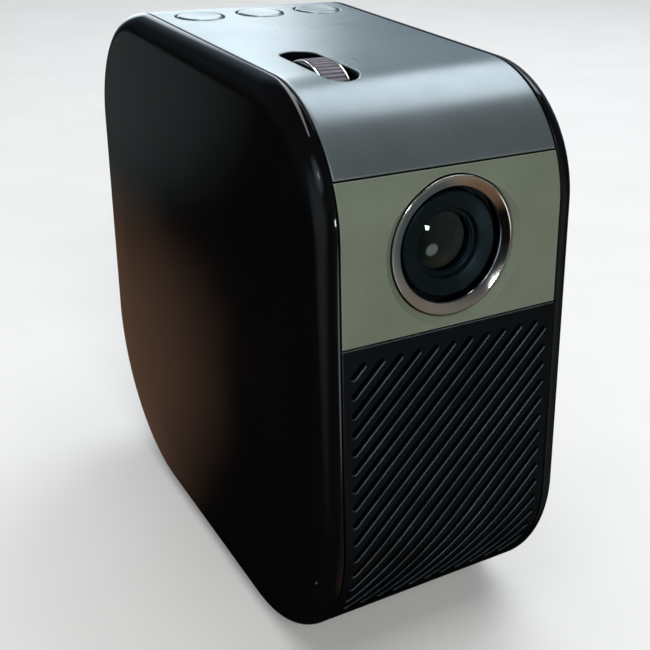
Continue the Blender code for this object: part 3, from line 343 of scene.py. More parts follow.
# zinc-plated steel: grey with a faint blue and yellow cast
looks["zinc_plated_steel"] = {
    "colour": "#8B8D90", "colourTwo": "#A09C90", "patchSize": 4,
    "roughness": (0.28, 0.42), "smudgeSize": 3,
    "grainSize": 0.3, "grainDepth": 0.01, "grainStrength": 0.25,
    "shader": {"Metallic": 1.0},
}

# turned brass: warm, with fine lathe lines round it
looks["turned_brass"] = {
    "colour": "#B08A4A", "colourTwo": "#C29C5C", "patchSize": 3, "stretch": (1, 1, 8),
    "roughness": (0.22, 0.36), "smudgeSize": 2,
    "grainSize": 0.2, "grainDepth": 0.01, "grainStrength": 0.3,
    "shader": {"Metallic": 1.0},
}

# extruded aluminium: pale, with draw lines along its height
looks["extruded_aluminium"] = {
    "colour": "#A9ABAC", "colourTwo": "#BFC0C1", "patchSize": 4, "stretch": (1, 1, 0.1),
    "roughness": (0.30, 0.45), "smudgeSize": 4,
    "grainSize": 0.2, "grainDepth": 0.01, "grainStrength": 0.3,
    "shader": {"Metallic": 1.0},
}

# glass-filled nylon: grey-black with a mottled, slightly fibrous skin
looks["glass_filled_nylon"] = {
    "colour": "#131415", "colourTwo": "#1C1D1E", "patchSize": 2.5, "stretch": (1, 2.5, 1),
    "roughness": (0.50, 0.66), "smudgeSize": 5,
    "grainSize": 0.35, "grainDepth": 0.02, "grainStrength": 0.35,
    "shader": {"IOR": 1.53, "Metallic": 0.0},
}

# solder resist over copper on glass-epoxy board: green gloss, darker where tracks lie under it
looks["solder_resist"] = {
    "colour": "#0E4A2A", "colourTwo": "#17633A", "patchSize": 1.6, "stretch": (1, 0.35, 1),
    "roughness": (0.24, 0.38), "smudgeSize": 6,
    "grainSize": 0.4, "grainDepth": 0.03, "grainStrength": 0.3,
    "shader": {"IOR": 1.55, "Metallic": 0.0},
}

# heat-shrunk PVC sleeve: tight, shiny and faintly wrinkled
looks["shrink_sleeve"] = {
    "colour": "#123A7A", "colourTwo": "#16448C", "patchSize": 12,
    "roughness": (0.20, 0.32), "smudgeSize": 6,
    "grainSize": 2.5, "grainDepth": 0.10, "grainStrength": 0.25,
    "shader": {"IOR": 1.54, "Metallic": 0.0},
}

# pressed paper pulp: a fuzzy black dish
looks["paper_pulp"] = {
    "colour": "#17171A", "colourTwo": "#232327", "patchSize": 1.2,
    "roughness": (0.80, 0.95), "smudgeSize": 3,
    "grainSize": 0.3, "grainDepth": 0.06, "grainStrength": 0.6,
    "shader": {"IOR": 1.45, "Metallic": 0.0},
}

# nickel-plated steel sheet of the sockets: bright, with faint rolling lines
looks["nickel_plated_sheet"] = {
    "colour": "#B4B3AF", "colourTwo": "#C6C4BE", "patchSize": 3, "stretch": (0.2, 1, 1),
    "roughness": (0.16, 0.28), "smudgeSize": 3,
    "grainSize": 0.15, "grainDepth": 0.006, "grainStrength": 0.25,
    "shader": {"Metallic": 1.0},
}

# liquid crystal polymer of the contact tongues: flat matt black
looks["contact_polymer"] = {
    "colour": "#111111", "colourTwo": "#181818", "patchSize": 1.5,
    "roughness": (0.45, 0.60), "smudgeSize": 2,
    "grainSize": 0.2, "grainDepth": 0.01, "grainStrength": 0.3,
    "shader": {"IOR": 1.60, "Metallic": 0.0},
}

# dyed acrylic of the infrared window: near black, red where light gets in
looks["dyed_acrylic"] = {
    "colour": "#1C0306", "colourTwo": "#260509", "patchSize": 4,
    "roughness": (0.04, 0.09), "smudgeSize": 3,
    "grainSize": 0.5, "grainDepth": 0.003, "grainStrength": 0.1,
    "shader": {"IOR": 1.49, "Metallic": 0.0},
}

# moulded epoxy of each lamp package, tinted by its light
epoxy = dict(looks["dyed_acrylic"], roughness=(0.2, 0.3))
looks["red_epoxy"] = dict(epoxy, colour="#8E1512", colourTwo="#A51B16")
looks["green_epoxy"] = dict(epoxy, colour="#127A2C", colourTwo="#178C34")
looks["blue_epoxy"] = dict(epoxy, colour="#14309A", colourTwo="#193AB0")


# optical glass, ground and polished: clear, dark behind, with bright spots of the room in it
opticalGlass = {
    "wipeSize": 3.0, "wipeDetail": 3.0, "wipeStops": (0.60, 0.85), "haze": 0.02,
    "shader": {
        "IOR": 1.55, "Transmission Weight": 1.0, "Base Color": linear("#A4CBD4"),
        "Specular Tint": linear("#E6FFFA"),
    },
}


def makeGlass(name):
    look = opticalGlass
    material, tree, shader, place = newTree(name)
    wiped = addNode(
        tree, "ShaderNodeTexNoise",
        {"Scale": perMetre(look["wipeSize"]), "Detail": look["wipeDetail"]}, {"Vector": place},
    )
    clear, wipedMost = look["wipeStops"]
    haze = addNode(
        tree, "ShaderNodeMapRange",
        {"From Min": clear, "From Max": wipedMost, "To Max": look["haze"]},
        {"Value": wiped.outputs["Fac"]},
    )
    setSockets(shader, look["shader"])
    tree.links.new(haze.outputs["Result"], shader.inputs["Roughness"])
    return material


finishes = {name: makeFinish(name, look) for name, look in looks.items()}
finishes["optical_glass"] = makeGlass("optical_glass")
print("finishes made:", len(finishes))


# the body's side line: four straight sides with rounded corners

coverLow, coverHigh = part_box("left_side_cover")
bodyLine = {
    "lean": 10 * mm,            # how far the front's top stands behind its foot
    "bottomFront": 40 * mm,     # corner radii
    "bottomRear": 48 * mm,
    "topRear": 37 * mm,
    "topFront": 32 * mm,
    "arcSteps": 40,
    "grilleTop": 95.4 * mm,     # above the body's underside
    "lensPanelTop": 133.2 * mm,
    "rearPanelTop": 111 * mm,
    "partingGap": 0.3 * mm,
    "wall": 2.4 * mm,
}
underside = coverLow.z
bodyTop = coverHigh.z
frontY = coverLow.y
rearY = coverHigh.y
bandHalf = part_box("top_band")[1].x
leanAngle = math.atan2(bodyLine["lean"], bodyTop - underside)


def bodyCorners():
    slope = math.pi / 2 - leanAngle
    radius = bodyLine["bottomFront"]
    foot = frontY + radius - radius / math.tan(slope / 2)
    return [
        (Vector((foot, underside)), radius),
        (Vector((rearY, underside)), bodyLine["bottomRear"]),
        (Vector((rearY, bodyTop)), bodyLine["topRear"]),
        (Vector((foot + bodyLine["lean"], bodyTop)), bodyLine["topFront"]),
    ]


def frontFaceY(z):
    foot = bodyCorners()[0][0].x
    return foot + bodyLine["lean"] * (z - underside) / (bodyTop - underside)


def sideLine(steps):
    # (point, outward normal) once round, from the lens panel's foot down the front
    corners = bodyCorners()
    top = underside + bodyLine["grilleTop"]
    start = Vector((frontFaceY(top), top))
    forward = Vector((-math.cos(leanAngle), math.sin(leanAngle)))
    line = [(start, forward)]
    for index, (corner, radius) in enumerate(corners):
        before = (corners[index - 1][0] - corner).normalized()
        after = (corners[(index + 1) % 4][0] - corner).normalized()
        half = math.acos(before.dot(after)) / 2
        centre = corner + (before + after).normalized() * radius / math.sin(half)
        first = corner + before * radius / math.tan(half) - centre
        last = corner + after * radius / math.tan(half) - centre
        turn = first.angle_signed(last)
        for step in range(steps + 1):
            spoke = Matrix.Rotation(-turn * step / steps, 2) @ first
            line.append((centre + spoke, spoke.normalized()))
    line.append((start.copy(), forward))
    return line


fineLine = sideLine(bodyLine["arcSteps"])
lineRun = [0.0]
for (here, _), (there, _) in zip(fineLine, fineLine[1:]):
    lineRun.append(lineRun[-1] + (there - here).length)


def onLine(distance):
    for index in range(len(fineLine) - 1):
        if distance <= lineRun[index + 1] or index == len(fineLine) - 2:
            span = lineRun[index + 1] - lineRun[index]
            share = (distance - lineRun[index]) / span
            point = fineLine[index][0].lerp(fineLine[index + 1][0], share)
            normal = fineLine[index][1].lerp(fineLine[index + 1][1], share)
            return point, normal.normalized()


def runAt(z, side):
    # the distance along the line where it passes a height, on the front (-1) or rear (1)
    for index in range(len(fineLine) - 1):
        here, there = fineLine[index][0], fineLine[index + 1][0]
        low, high = sorted((here.y, there.y))
        if low <= z <= high and high > low and here.x * side > 0:
            share = (z - here.y) / (there.y - here.y)
            return lineRun[index] + share * (lineRun[index + 1] - lineRun[index])


def runAtTop(y):
    # the same along the flat top
    rearEnd = lineRun[3 * (bodyLine["arcSteps"] + 1)]
    return rearEnd + fineLine[3 * (bodyLine["arcSteps"] + 1)][0].x - y


def runAtBottom(y):
    flatStart = bodyLine["arcSteps"] + 1
    return lineRun[flatStart] + y - fineLine[flatStart][0].x


# mesh helpers

def middleAndSize(node):
    low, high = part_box(node)
    return (low + high) / 2, high - low


def meshPiece(name, shape, sharp=sharpAngle):
    bmesh.ops.recalc_face_normals(shape, faces=shape.faces)
    mesh = bpy.data.meshes.new(name)
    shape.to_mesh(mesh)
    shape.free()
    mesh.shade_smooth()
    mesh.set_sharp_from_angle(angle=math.radians(sharp))
    piece = bpy.data.objects.new(name, mesh)
    bpy.context.scene.collection.objects.link(piece)
    return piece


def settle(piece):
    # bakes the modifiers into the mesh
    graph = bpy.context.evaluated_depsgraph_get()
    mesh = bpy.data.meshes.new_from_object(piece.evaluated_get(graph))
    piece.modifiers.clear()
    piece.data = mesh
    return piece


def balanceNormals(piece):
    # large faces keep their own normal next to small rounded edges
    modifier = piece.modifiers.new("Weighted normals", "WEIGHTED_NORMAL")
    modifier.keep_sharp = True
    modifier.weight = 100
    return piece


def combine(piece, other, operation):
    modifier = piece.modifiers.new(other.name, "BOOLEAN")
    modifier.operation = operation
    modifier.object = other
    settle(piece)
    bpy.data.objects.remove(other, do_unlink=True)
    piece.data.shade_smooth()
    piece.data.set_sharp_from_angle(angle=math.radians(sharpAngle))
    return piece


def outlineShape(name, outer, holes, thickness, edge, steps=2):
    # a flat sheet with holes, in local X and Y, its rims rounded by the edge radius
    curve = bpy.data.curves.new(name, "CURVE")
    curve.dimensions = "2D"
    curve.fill_mode = "BOTH"
    curve.extrude = thickness / 2 - edge
    curve.bevel_depth = edge
    curve.bevel_resolution = steps
    curve.offset = -edge
    for points in [outer, *holes]:
        spline = curve.splines.new("POLY")
        spline.points.add(len(points) - 1)
        for point, (x, y) in zip(spline.points, points):
            point.co = (x, y, 0, 1)
        spline.use_cyclic_u = True
    sketch = bpy.data.objects.new(name, curve)
    bpy.context.scene.collection.objects.link(sketch)
    graph = bpy.context.evaluated_depsgraph_get()
    mesh = bpy.data.meshes.new_from_object(sketch.evaluated_get(graph))
    bpy.data.objects.remove(sketch, do_unlink=True)
    bpy.data.curves.remove(curve)
    shape = bmesh.new()
    shape.from_mesh(mesh)
    bpy.data.meshes.remove(mesh)
    bmesh.ops.remove_doubles(shape, verts=shape.verts, dist=weld)
    return shape


def wrappedSheet(name, start, end, holes, edge, stations=None):
    # cuts a flat sheet and wraps it round the body's side line. Its Y is the run along the
    # line, unless stations give pairs of a flat Y and a run.
    halfWidth, wall = bandHalf, bodyLine["wall"]
    if not stations:
        stations = [(run, run) for run in lineRun if start < run < end]
        stations = [(start, start), *stations, (end, end)]
    gap = bodyLine["partingGap"] / 2
    low, high = stations[0][0] + gap, stations[-1][0] - gap
    outer = [(-halfWidth, low), (halfWidth, low), (halfWidth, high), (-halfWidth, high)]
    shape = outlineShape(name, outer, holes, wall, edge)
    for flat, run in stations[1:-1]:
        if low + edge < flat < high - edge:
            everything = [*shape.verts, *shape.edges, *shape.faces]
            bmesh.ops.bisect_plane(
                shape, geom=everything, dist=1e-7, plane_co=(0, flat, 0), plane_no=(0, 1, 0)
            )
    shape.normal_update()
    for face in shape.faces:
        face.material_index = 1 if face.normal.z < 0.3 else 0   # walls and back take the piece's second material, black on the band and the lens panel
    for vertex in shape.verts:
        x, flat, lift = vertex.co
        point, normal = onLine(runOfFlat(stations, flat))
        spot = point - normal * (wall / 2 - lift)
        vertex.co = (x, spot.x, spot.y)
    return meshPiece(name, shape)


def runOfFlat(stations, flat):
    for (flatLow, runLow), (flatHigh, runHigh) in zip(stations, stations[1:]):
        if flat <= flatHigh:
            break
    return runLow + (flat - flatLow) / (flatHigh - flatLow) * (runHigh - runLow)


def roundedProfile(points, steps=5):
    # (radius, height, fillet) points become a line with rounded corners
    line = []
    count = len(points)
    for index, (radius, height, fillet) in enumerate(points):
        corner = Vector((radius, height))
        if fillet <= 0:
            line.append((corner.x, corner.y))
            continue
        before = Vector(points[index - 1][:2]) - corner
        after = Vector(points[(index + 1) % count][:2]) - corner
        reach = min(fillet, before.length * 0.49, after.length * 0.49)
        first = corner + before.normalized() * reach
        last = corner + after.normalized() * reach
        for step in range(steps + 1):
            t = step / steps
            spot = first * (1 - t) ** 2 + corner * 2 * t * (1 - t) + last * t ** 2
            line.append((spot.x, spot.y))
    return line


def turnedShape(name, points, closed, place, turns=96, sharp=sharpAngle):
    # turns a profile once round local Z
    shape = bmesh.new()
    line = roundedProfile(points)
    verts = [shape.verts.new((max(radius, 0), 0, height)) for radius, height in line]
    edges = [shape.edges.new(pair) for pair in zip(verts, verts[1:])]
    if closed:
        edges.append(shape.edges.new((verts[-1], verts[0])))
    bmesh.ops.spin(
        shape, geom=[*verts, *edges], angle=math.tau, steps=turns, use_merge=True,
        axis=(0, 0, 1), cent=(0, 0, 0),
    )
    bmesh.ops.remove_doubles(shape, verts=shape.verts, dist=weld)
    loose = [vertex for vertex in shape.verts if not vertex.link_faces]
    bmesh.ops.delete(shape, geom=loose, context="VERTS")
    bmesh.ops.transform(shape, matrix=place, verts=shape.verts)
    return meshPiece(name, shape, sharp)


def boxShape(name, size, place, edge=0.0, steps=2):
    shape = bmesh.new()
    bmesh.ops.create_cube(shape, size=1, matrix=place @ Matrix.Diagonal((*size, 1)))
    if edge:
        bmesh.ops.bevel(
            shape, geom=shape.edges[:], offset=edge, segments=steps, profile=0.5,
            affect="EDGES", clamp_overlap=True,
        )
    return meshPiece(name, shape)


def at(x, y, z):
    return Matrix.Translation((x, y, z))


def stand(piece, body, nodes, slot, *names):
    # hangs a finished piece on its body in place of the plain solids
    for name in names:
        piece.data.materials.append(finishes[name])
    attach(piece, body)
    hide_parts(*nodes)
    return piece


def inMetres(points):
    return [tuple(size * mm for size in point) for point in points]


# side covers

coverLook = {
    "rim": 5.7 * mm,        # radius of the rounded rim
    "rimSteps": 14,
    "wall": 2 * mm,
    "floorCorner": 1.5 * mm,
    "lip": 3 * mm,          # width of the face that meets the band
    "innerEdge": 0.25 * mm,
    "crown": 0.35 * mm,     # how far the middle of the face swells
    "crownRings": (0.8, 0.55, 0.28),
    "sharp": 50,
}


def coverRings(inner, outer, side):
    # (x, inset) steps from the hollow's floor round the lip and the rim to the face
    lip, edge, rim = coverLook["lip"], coverLook["innerEdge"], coverLook["rim"]
    corner = coverLook["floorCorner"]
    hollow = outer - coverLook["wall"]
    rings = [
        (hollow, lip + corner), (hollow - corner, lip), (inner, lip), (inner, edge),
        (inner + edge, 0.0),
    ]
    for step in range(coverLook["rimSteps"] + 1):
        angle = math.pi / 2 * step / coverLook["rimSteps"]
        x = outer - rim + rim * math.sin(angle) - coverLook["crown"] * (1 if step else 0)
        rings.append((max(x, outer - rim), rim * (1 - math.cos(angle))))
    return [(side * x, inset) for x, inset in rings]


def buildCover(node, side):
    low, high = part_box(node)
    inner = min(abs(low.x), abs(high.x))
    outer = max(abs(low.x), abs(high.x))
    shape = bmesh.new()
    rows = []
    for x, inset in coverRings(inner, outer, side):
        row = []
        for point, normal in fineLine[:-1]:
            spot = point - normal * inset
            row.append(shape.verts.new((x, spot.x, spot.y)))
        rows.append(row)
    for row, following in zip(rows, rows[1:]):
        for index in range(len(row)):
            after = (index + 1) % len(row)
            shape.faces.new((row[index], row[after], following[after], following[index]))
    shape.faces.new(rows[0])
    crownFace(shape, rows[-1], side)
    return meshPiece(node + "_shell", shape, coverLook["sharp"])


def crownFace(shape, rim, side):
    # closes the outer face with rings that shrink to its middle and swell a little
    middle = Vector((0, (frontY + rearY) / 2, (underside + bodyTop) / 2))
    edgeX = rim[0].co.x
    last = rim
    for share in coverLook["crownRings"]:
        row = []
        for vertex in rim:
            spot = middle.lerp(vertex.co, share)
            swell = coverLook["crown"] * (1 - share ** 2)
            row.append(shape.verts.new((edgeX + side * swell, spot.y, spot.z)))
        for index in range(len(row)):
            after = (index + 1) % len(row)
            shape.faces.new((last[index], last[after], row[after], row[index]))
        last = row
    centre = shape.verts.new((edgeX + side * coverLook["crown"], middle.y, middle.z))
    for index in range(len(last)):
        shape.faces.new((last[index], last[(index + 1) % len(last)], centre))


for coverNode, coverSide in (("left_side_cover", -1), ("right_side_cover", 1)):
    cover = buildCover(coverNode, coverSide)
    stand(cover, "casing", [coverNode], "cover", "piano_black_abs")
print("side covers made")


# top band with the wheel's slot and the button holes

bandLook = {
    "edge": 0.45 * mm,
    "slotLength": 29 * mm,
    "slotHalf": 4.8 * mm,
    "buttonHole": 6.9 * mm,
    "slotSteps": 20,
    "holeSteps": 64,
}
wheelMiddle, wheelSize = middleAndSize("focus_wheel_hub")
splitRear = runAt(underside + bodyLine["rearPanelTop"], 1)
splitLens = runAt(underside + bodyLine["lensPanelTop"], -1)
buttonNodes = ("top_button_left", "top_button_middle", "top_button_right")


def stadium(x, y, half, length, turn=0.0, steps=10):
    # a slot outline with round ends, its long way along Y before it is turned
    points = []
    reach = length / 2 - half
    for end in (1, -1):
        for step in range(steps + 1):
            angle = math.pi * step / steps + (0 if end > 0 else math.pi)
            spot = Vector((half * math.cos(angle), end * reach + half * math.sin(angle)))
            spot = Matrix.Rotation(turn, 2) @ spot
            points.append((x + spot.x, y + spot.y))
    return points


def circle(x, y, radius, steps):
    angles = [math.tau * step / steps for step in range(steps)]
    return [(x + radius * math.cos(a), y + radius * math.sin(a)) for a in angles]


def buildBand():
    slot = stadium(
        wheelMiddle.x, runAtTop(wheelMiddle.y), bandLook["slotHalf"], bandLook["slotLength"],
        0, bandLook["slotSteps"],
    )
    holes = [slot]
    for node in buttonNodes:
        middle, _ = middleAndSize(node)
        run = runAtTop(middle.y)
        holes.append(circle(middle.x, run, bandLook["buttonHole"], bandLook["holeSteps"]))
    band = wrappedSheet("top_band_skin", splitRear, splitLens, holes, bandLook["edge"])
    return balanceNormals(band)


stand(
    buildBand(), "casing", ["top_band"], "band", "silver_flake_paint", "textured_polycarbonate"
)
print("top band made")


# lens panel with its dished opening, and the lens itself

panelLook = {
    "edge": 0.35 * mm,
    "lensHeight": 114.7 * mm,     # above the underside
    # cutter of the dished opening: (radius, height, fillet) in mm from the panel's face
    "dish": (
        (0, 5, 0), (24.6, 5, 0), (19.2, 0.12, 1.2), (17.03, -1.15, 0.5), (16.88, -8, 0),
        (0, -8, 0),
    ),
    "dishTurns": 128,
}
lensZ = underside + panelLook["lensHeight"]


def lensFrame(depth=0.0, up=0.0, across=0.0):
    # local Z points out of the lens; depth is measured back from the panel's face
    turn = Matrix.Rotation(math.pi / 2 - leanAngle, 4, "X")
    return at(0, frontFaceY(lensZ), lensZ) @ turn @ at(across, up, -depth)


def buildLensPanel():
    panel = wrappedSheet("lens_panel_skin", splitLens, lineRun[-1], [], panelLook["edge"])
    cutter = turnedShape(
        "dish_cutter", inMetres(panelLook["dish"]), False, lensFrame(), panelLook["dishTurns"]
    )
    combine(panel, cutter, "DIFFERENCE")
    return balanceNormals(panel)


stand(
    buildLensPanel(), "casing", ["lens_panel"], "lens_panel", "olive_grey_paint",
    "textured_polycarbonate",
)

# polished funnel ring, its profile as (radius, height, fillet)
ringLook = {
    "profile": (
        (16.3, -0.98, 0.25), (16.7, -1.02, 0.2), (16.7, -6, 0.2), (13.9, -6, 0.2),
        (13.9, -1.85, 0.35),
    ),
    "turns": 128,
}
trimRing = turnedShape(
    "trim_ring_polished", inMetres(ringLook["profile"]), True, lensFrame(), ringLook["turns"]
)
stand(trimRing, "casing", ["lens_trim_ring"], "trim_ring", "chrome_plating")

# barrel: satin hood and retaining ring, then steps that stop stray light
barrelLook = {
    # mm, depths behind the panel's face
    "front": 2.6, "radius": 12.8, "back": 31.2, "chamfer": 0.4,
    "hood": ((8.5, 3.4, 0.25), (8.25, 4.7, 0.2), (7.75, 4.75, 0.2), (7.15, 5.15, 0.12)),
    "glassBore": 7.6, "glassSeat": 5.5, "seatEnd": 9.2, "rearBore": 18.2,
    "baffles": ((9.4, 6.3), (11.0, 5.7), (12.6, 5.1), (14.4, 4.4), (16.4, 3.7)),
    "baffleWidth": 1.0, "baffleLip": 0.6,
    "turns": 112, "sharp": 30,
}


def barrelProfile():
    # baffles are steps, each given by its depth and its bore
    look = barrelLook
    radius, front, back, bore = look["radius"], look["front"], look["back"], look["glassBore"]
    points = [
        (radius - look["chamfer"], -front, 0.3), (radius, -front - look["chamfer"], 0.2),
        (radius, -back, 0.2), (bore, -back, 0), (bore, -look["rearBore"], 0),
    ]
    for depth, opening in reversed(look["baffles"]):
        points.append((opening, -depth - look["baffleWidth"], 0.05))
        points.append((opening, -depth, 0.12))
        points.append((opening + look["baffleLip"], -depth, 0.05))
    points.append((bore, -look["seatEnd"], 0))
    points.append((bore, -look["glassSeat"], 0))
    points += [(width, -depth, fillet) for width, depth, fillet in reversed(look["hood"])]
    return inMetres(points)


barrel = turnedShape(
    "barrel_hood", barrelProfile(), True, lensFrame(), barrelLook["turns"], barrelLook["sharp"]
)
stand(barrel, "focus_lens", ["lens_barrel"], "lens_black", "black_anodised_aluminium")


# the glasses: mm, the depth of each front rim, its radius, domes and thickness
glassLook = {
    "front_lens": ("front_glass", 5.55, 7.3, 1.15, 0.5, 2.4),
    "rear_lens": ("rear_glass", 20.65, 7.3, 0.75, 0.0, 2.4),
}
glassSteps = 10


def buildGlass(name, depth, radius, frontRise, backRise, thickness):
    # a lens with a domed front and a hollow or domed back
    shares = [step / glassSteps for step in range(glassSteps + 1)]
    points = [(radius * share, frontRise * (1 - share ** 2), 0) for share in shares]
    for share in reversed(shares):
        points.append((radius * share, -thickness + backRise * (1 - share ** 2), 0))
    return turnedShape(name, inMetres(points), False, lensFrame(depth * mm), 96, 30)


for glassNode, sizes in glassLook.items():
    stand(buildGlass(*sizes), "focus_lens", [glassNode], "glass", "optical_glass")
print("lens made")


# front grille, rear panel and base

grilleLook = {
    "halfWidth": 27.3 * mm,
    "slotsTop": 90.8 * mm,      # above the underside
    "slotsBottom": 20 * mm,
    "turnUnder": 16 * mm,
    "pitch": 4.93 * mm,         # up the panel
    "shortest": 0.4,            # of the pitch; a shorter slot is left out
    "slotHalf": 0.72 * mm,
    "edge": 0.2 * mm,
}
ventLook = {
    "halfWidth": 20 * mm,
    "slotsTop": 106 * mm,
    "slotsBottom": 72 * mm,
    "pitch": 5.4 * mm,
    "shortest": 0.4,
    "slotHalf": 0.85 * mm,
    "edge": 0.22 * mm,
}


def slotRows(look, flatOf, rising):
    # slots at 45 degrees, clipped to a rectangle, in the flat sheet
    bottom, top, half = look["slotsBottom"], look["slotsTop"], look["halfWidth"]
    rows = []
    level = top + half - look["pitch"] / 2
    while level > bottom - half:
        left = max(-half, bottom - level)
        right = min(half, top - level)
        if right - left > look["pitch"] * look["shortest"]:
            length = (right - left) * math.sqrt(2) + 2 * look["slotHalf"]
            middle = (left + right) / 2
            rows.append(stadium(
                middle, flatOf(level + middle), look["slotHalf"], length,
                -math.pi / 4 * rising, 6,
            ))
        level -= look["pitch"]
    return rows


def buildGrille():
    # flat Y follows the height down the front, so slots look straight from ahead, and then the
    # run once the panel turns under
    end = lineRun[bodyLine["arcSteps"] + 1]
    turnUnder = grilleLook["turnUnder"]
    stations = [(-bodyLine["grilleTop"], 0.0)]
    for run in lineRun[1:bodyLine["arcSteps"] + 2]:
        height = onLine(run)[0].y - underside
        if height > turnUnder:
            stations.append((-height, run))
        else:
            flat, before = stations[-1]
            stations.append((flat + run - before, run))
    rows = slotRows(grilleLook, lambda height: -height, -1)
    grille = wrappedSheet("front_grille_skin", 0, end, rows, grilleLook["edge"], stations)
    return balanceNormals(grille)


stand(
    buildGrille(), "casing", ["front_grille"], "grille", "textured_polycarbonate",
    "textured_polycarbonate",
)


socketNodes = ("hdmi_socket", "usb_socket", "dc_socket", "audio_socket", "ir_window")
flatSockets = socketNodes[:2]
rearLook = {
    "gap": 0.30 * mm,           # round each socket, screw and insert
    "socketCorner": 0.8 * mm,
    "socketSteps": 48,
    "screwSteps": 40,
    "baseEdge": 0.3 * mm,
}


def rectangle(x, y, halfX, halfY, radius, steps=4):
    points = []
    for signX, signY, first in ((1, 1, 0), (-1, 1, 1), (-1, -1, 2), (1, -1, 3)):
        for step in range(steps + 1):
            angle = math.pi / 2 * (first + step / steps)
            points.append((
                x + signX * (halfX - radius) + radius * math.cos(angle),
                y + signY * (halfY - radius) + radius * math.sin(angle),
            ))
    return points


def buildRearPanel():
    holes = slotRows(ventLook, lambda height: runAt(underside + height, 1), 1)
    gap = rearLook["gap"]
    for node in socketNodes:
        middle, size = middleAndSize(node)
        x, z = size.x / 2 + gap, size.z / 2 + gap
        run = runAt(middle.z, 1)
        if node in flatSockets:
            holes.append(rectangle(middle.x, run, x, z, rearLook["socketCorner"]))
        else:
            holes.append(circle(middle.x, run, x, rearLook["socketSteps"]))
    start = lineRun[bodyLine["arcSteps"] + 2]
    panel = wrappedSheet("rear_panel_skin", start, splitRear, holes, ventLook["edge"])
    return balanceNormals(panel)


stand(
    buildRearPanel(), "casing", ["rear_panel"], "casing", "textured_polycarbonate",
    "textured_polycarbonate",
)

corners = [f"{end}_{side}" for end in ("front", "rear") for side in ("left", "right")]
screwNodes = [f"base_screw_{corner}" for corner in corners]
footNodes = [f"foot_{corner}" for corner in corners]


def buildBase():
    holes = []
    for node in [*screwNodes, "tripod_insert"]:
        middle, size = middleAndSize(node)
        radius = size.x / 2 + rearLook["gap"]
        holes.append(circle(middle.x, runAtBottom(middle.y), radius, rearLook["screwSteps"]))
    start = lineRun[bodyLine["arcSteps"] + 1]
    end = lineRun[bodyLine["arcSteps"] + 2]
    base = wrappedSheet("bottom_plate_skin", start, end, holes, rearLook["baseEdge"])
    return balanceNormals(base)


stand(
    buildBase(), "casing", ["bottom_plate"], "casing", "textured_polycarbonate",
    "textured_polycarbonate",
)
print("grille, rear panel and base made")


# focus wheel

wheelLook = {
    "ribs": 66,
    "ribDepth": 0.42 * mm,
    "tyreInner": 11.4 * mm,
    "tyreOuter": 14 * mm,
    "tyreHalf": 2.95 * mm,
    "tyreEdge": 0.2 * mm,
    # (share of the pitch, share of the depth) across one rib
    "ribLine": ((-0.26, 0.06), (0.0, 0.0), (0.26, 0.06), (0.42, 1.0), (0.58, 1.0)),
    "discThickness": 0.7 * mm,
    "discInset": 0.15 * mm,     # below the ribs' tops
    "waistInset": 0.4 * mm,
    "rimWidth": 2.2 * mm,
    "webDepth": 0.4 * mm,       # of the side faces' hollow
    "webRadii": (3.2 * mm, 2.9 * mm),     # its inner one, and the outer one back from the rim
    "boss": 2.8 * mm,
    "bore": 1.6 * mm,
    "turns": 96,
    "tyreSharp": 40,
}


def acrossPlace():
    return at(*wheelMiddle) @ Matrix.Rotation(math.pi / 2, 4, "Y")


def buildHub():
    look = wheelLook
    half = wheelSize.x / 2
    rim = look["tyreOuter"] - look["discInset"]
    waist = look["tyreInner"] - look["waistInset"]
    disc, boss, bore = look["discThickness"], look["boss"], look["bore"]
    web, (inner, back) = half - look["webDepth"], look["webRadii"]
    large, small = 0.3 * mm, 0.12 * mm     # fillets
    side = [
        (bore, half, 0.1 * mm), (boss, half, 0.2 * mm), (inner, web, large),
        (rim - back, web, 0.4 * mm), (rim - look["rimWidth"], half, large), (rim, half, large),
        (rim, half - disc, small), (waist, half - disc, 0),
    ]
    otherSide = [(radius, -height, fillet) for radius, height, fillet in reversed(side)]
    points = side[5:] + otherSide + side[:5]
    return turnedShape("wheel_hub_polished", points, True, acrossPlace(), look["turns"])


def buildTyre():
    points = []
    step = math.tau / wheelLook["ribs"]
    outer = wheelLook["tyreOuter"]
    for rib in range(wheelLook["ribs"]):
        for share, drop in wheelLook["ribLine"]:
            radius = outer - wheelLook["ribDepth"] * drop
            angle = step * (rib + share)
            points.append((radius * math.cos(angle), radius * math.sin(angle)))
    inner = circle(0, 0, wheelLook["tyreInner"], wheelLook["turns"])
    shape = outlineShape(
        "wheel_tyre_ribbed", points, [inner], 2 * wheelLook["tyreHalf"], wheelLook["tyreEdge"]
    )
    bmesh.ops.transform(shape, matrix=acrossPlace(), verts=shape.verts)
    return meshPiece("wheel_tyre_ribbed", shape, wheelLook["tyreSharp"])


stand(buildHub(), "focus_wheel", ["focus_wheel_hub"], "wheel_hub", "chrome_plating")
stand(buildTyre(), "focus_wheel", ["focus_wheel_tyre"], "wheel_tyre", "wheel_rubber")
print("focus wheel made")


# push buttons

buttonLook = {
    # mm; heights from the band's top
    "radius": 6.6, "proud": 0.25, "dish": 0.22, "dishRadius": 3.4, "under": 2.7,
    "flange": 4.1, "flangeWidth": 1.0, "stem": 6.3, "stemRadius": 1.5, "turns": 72,
}


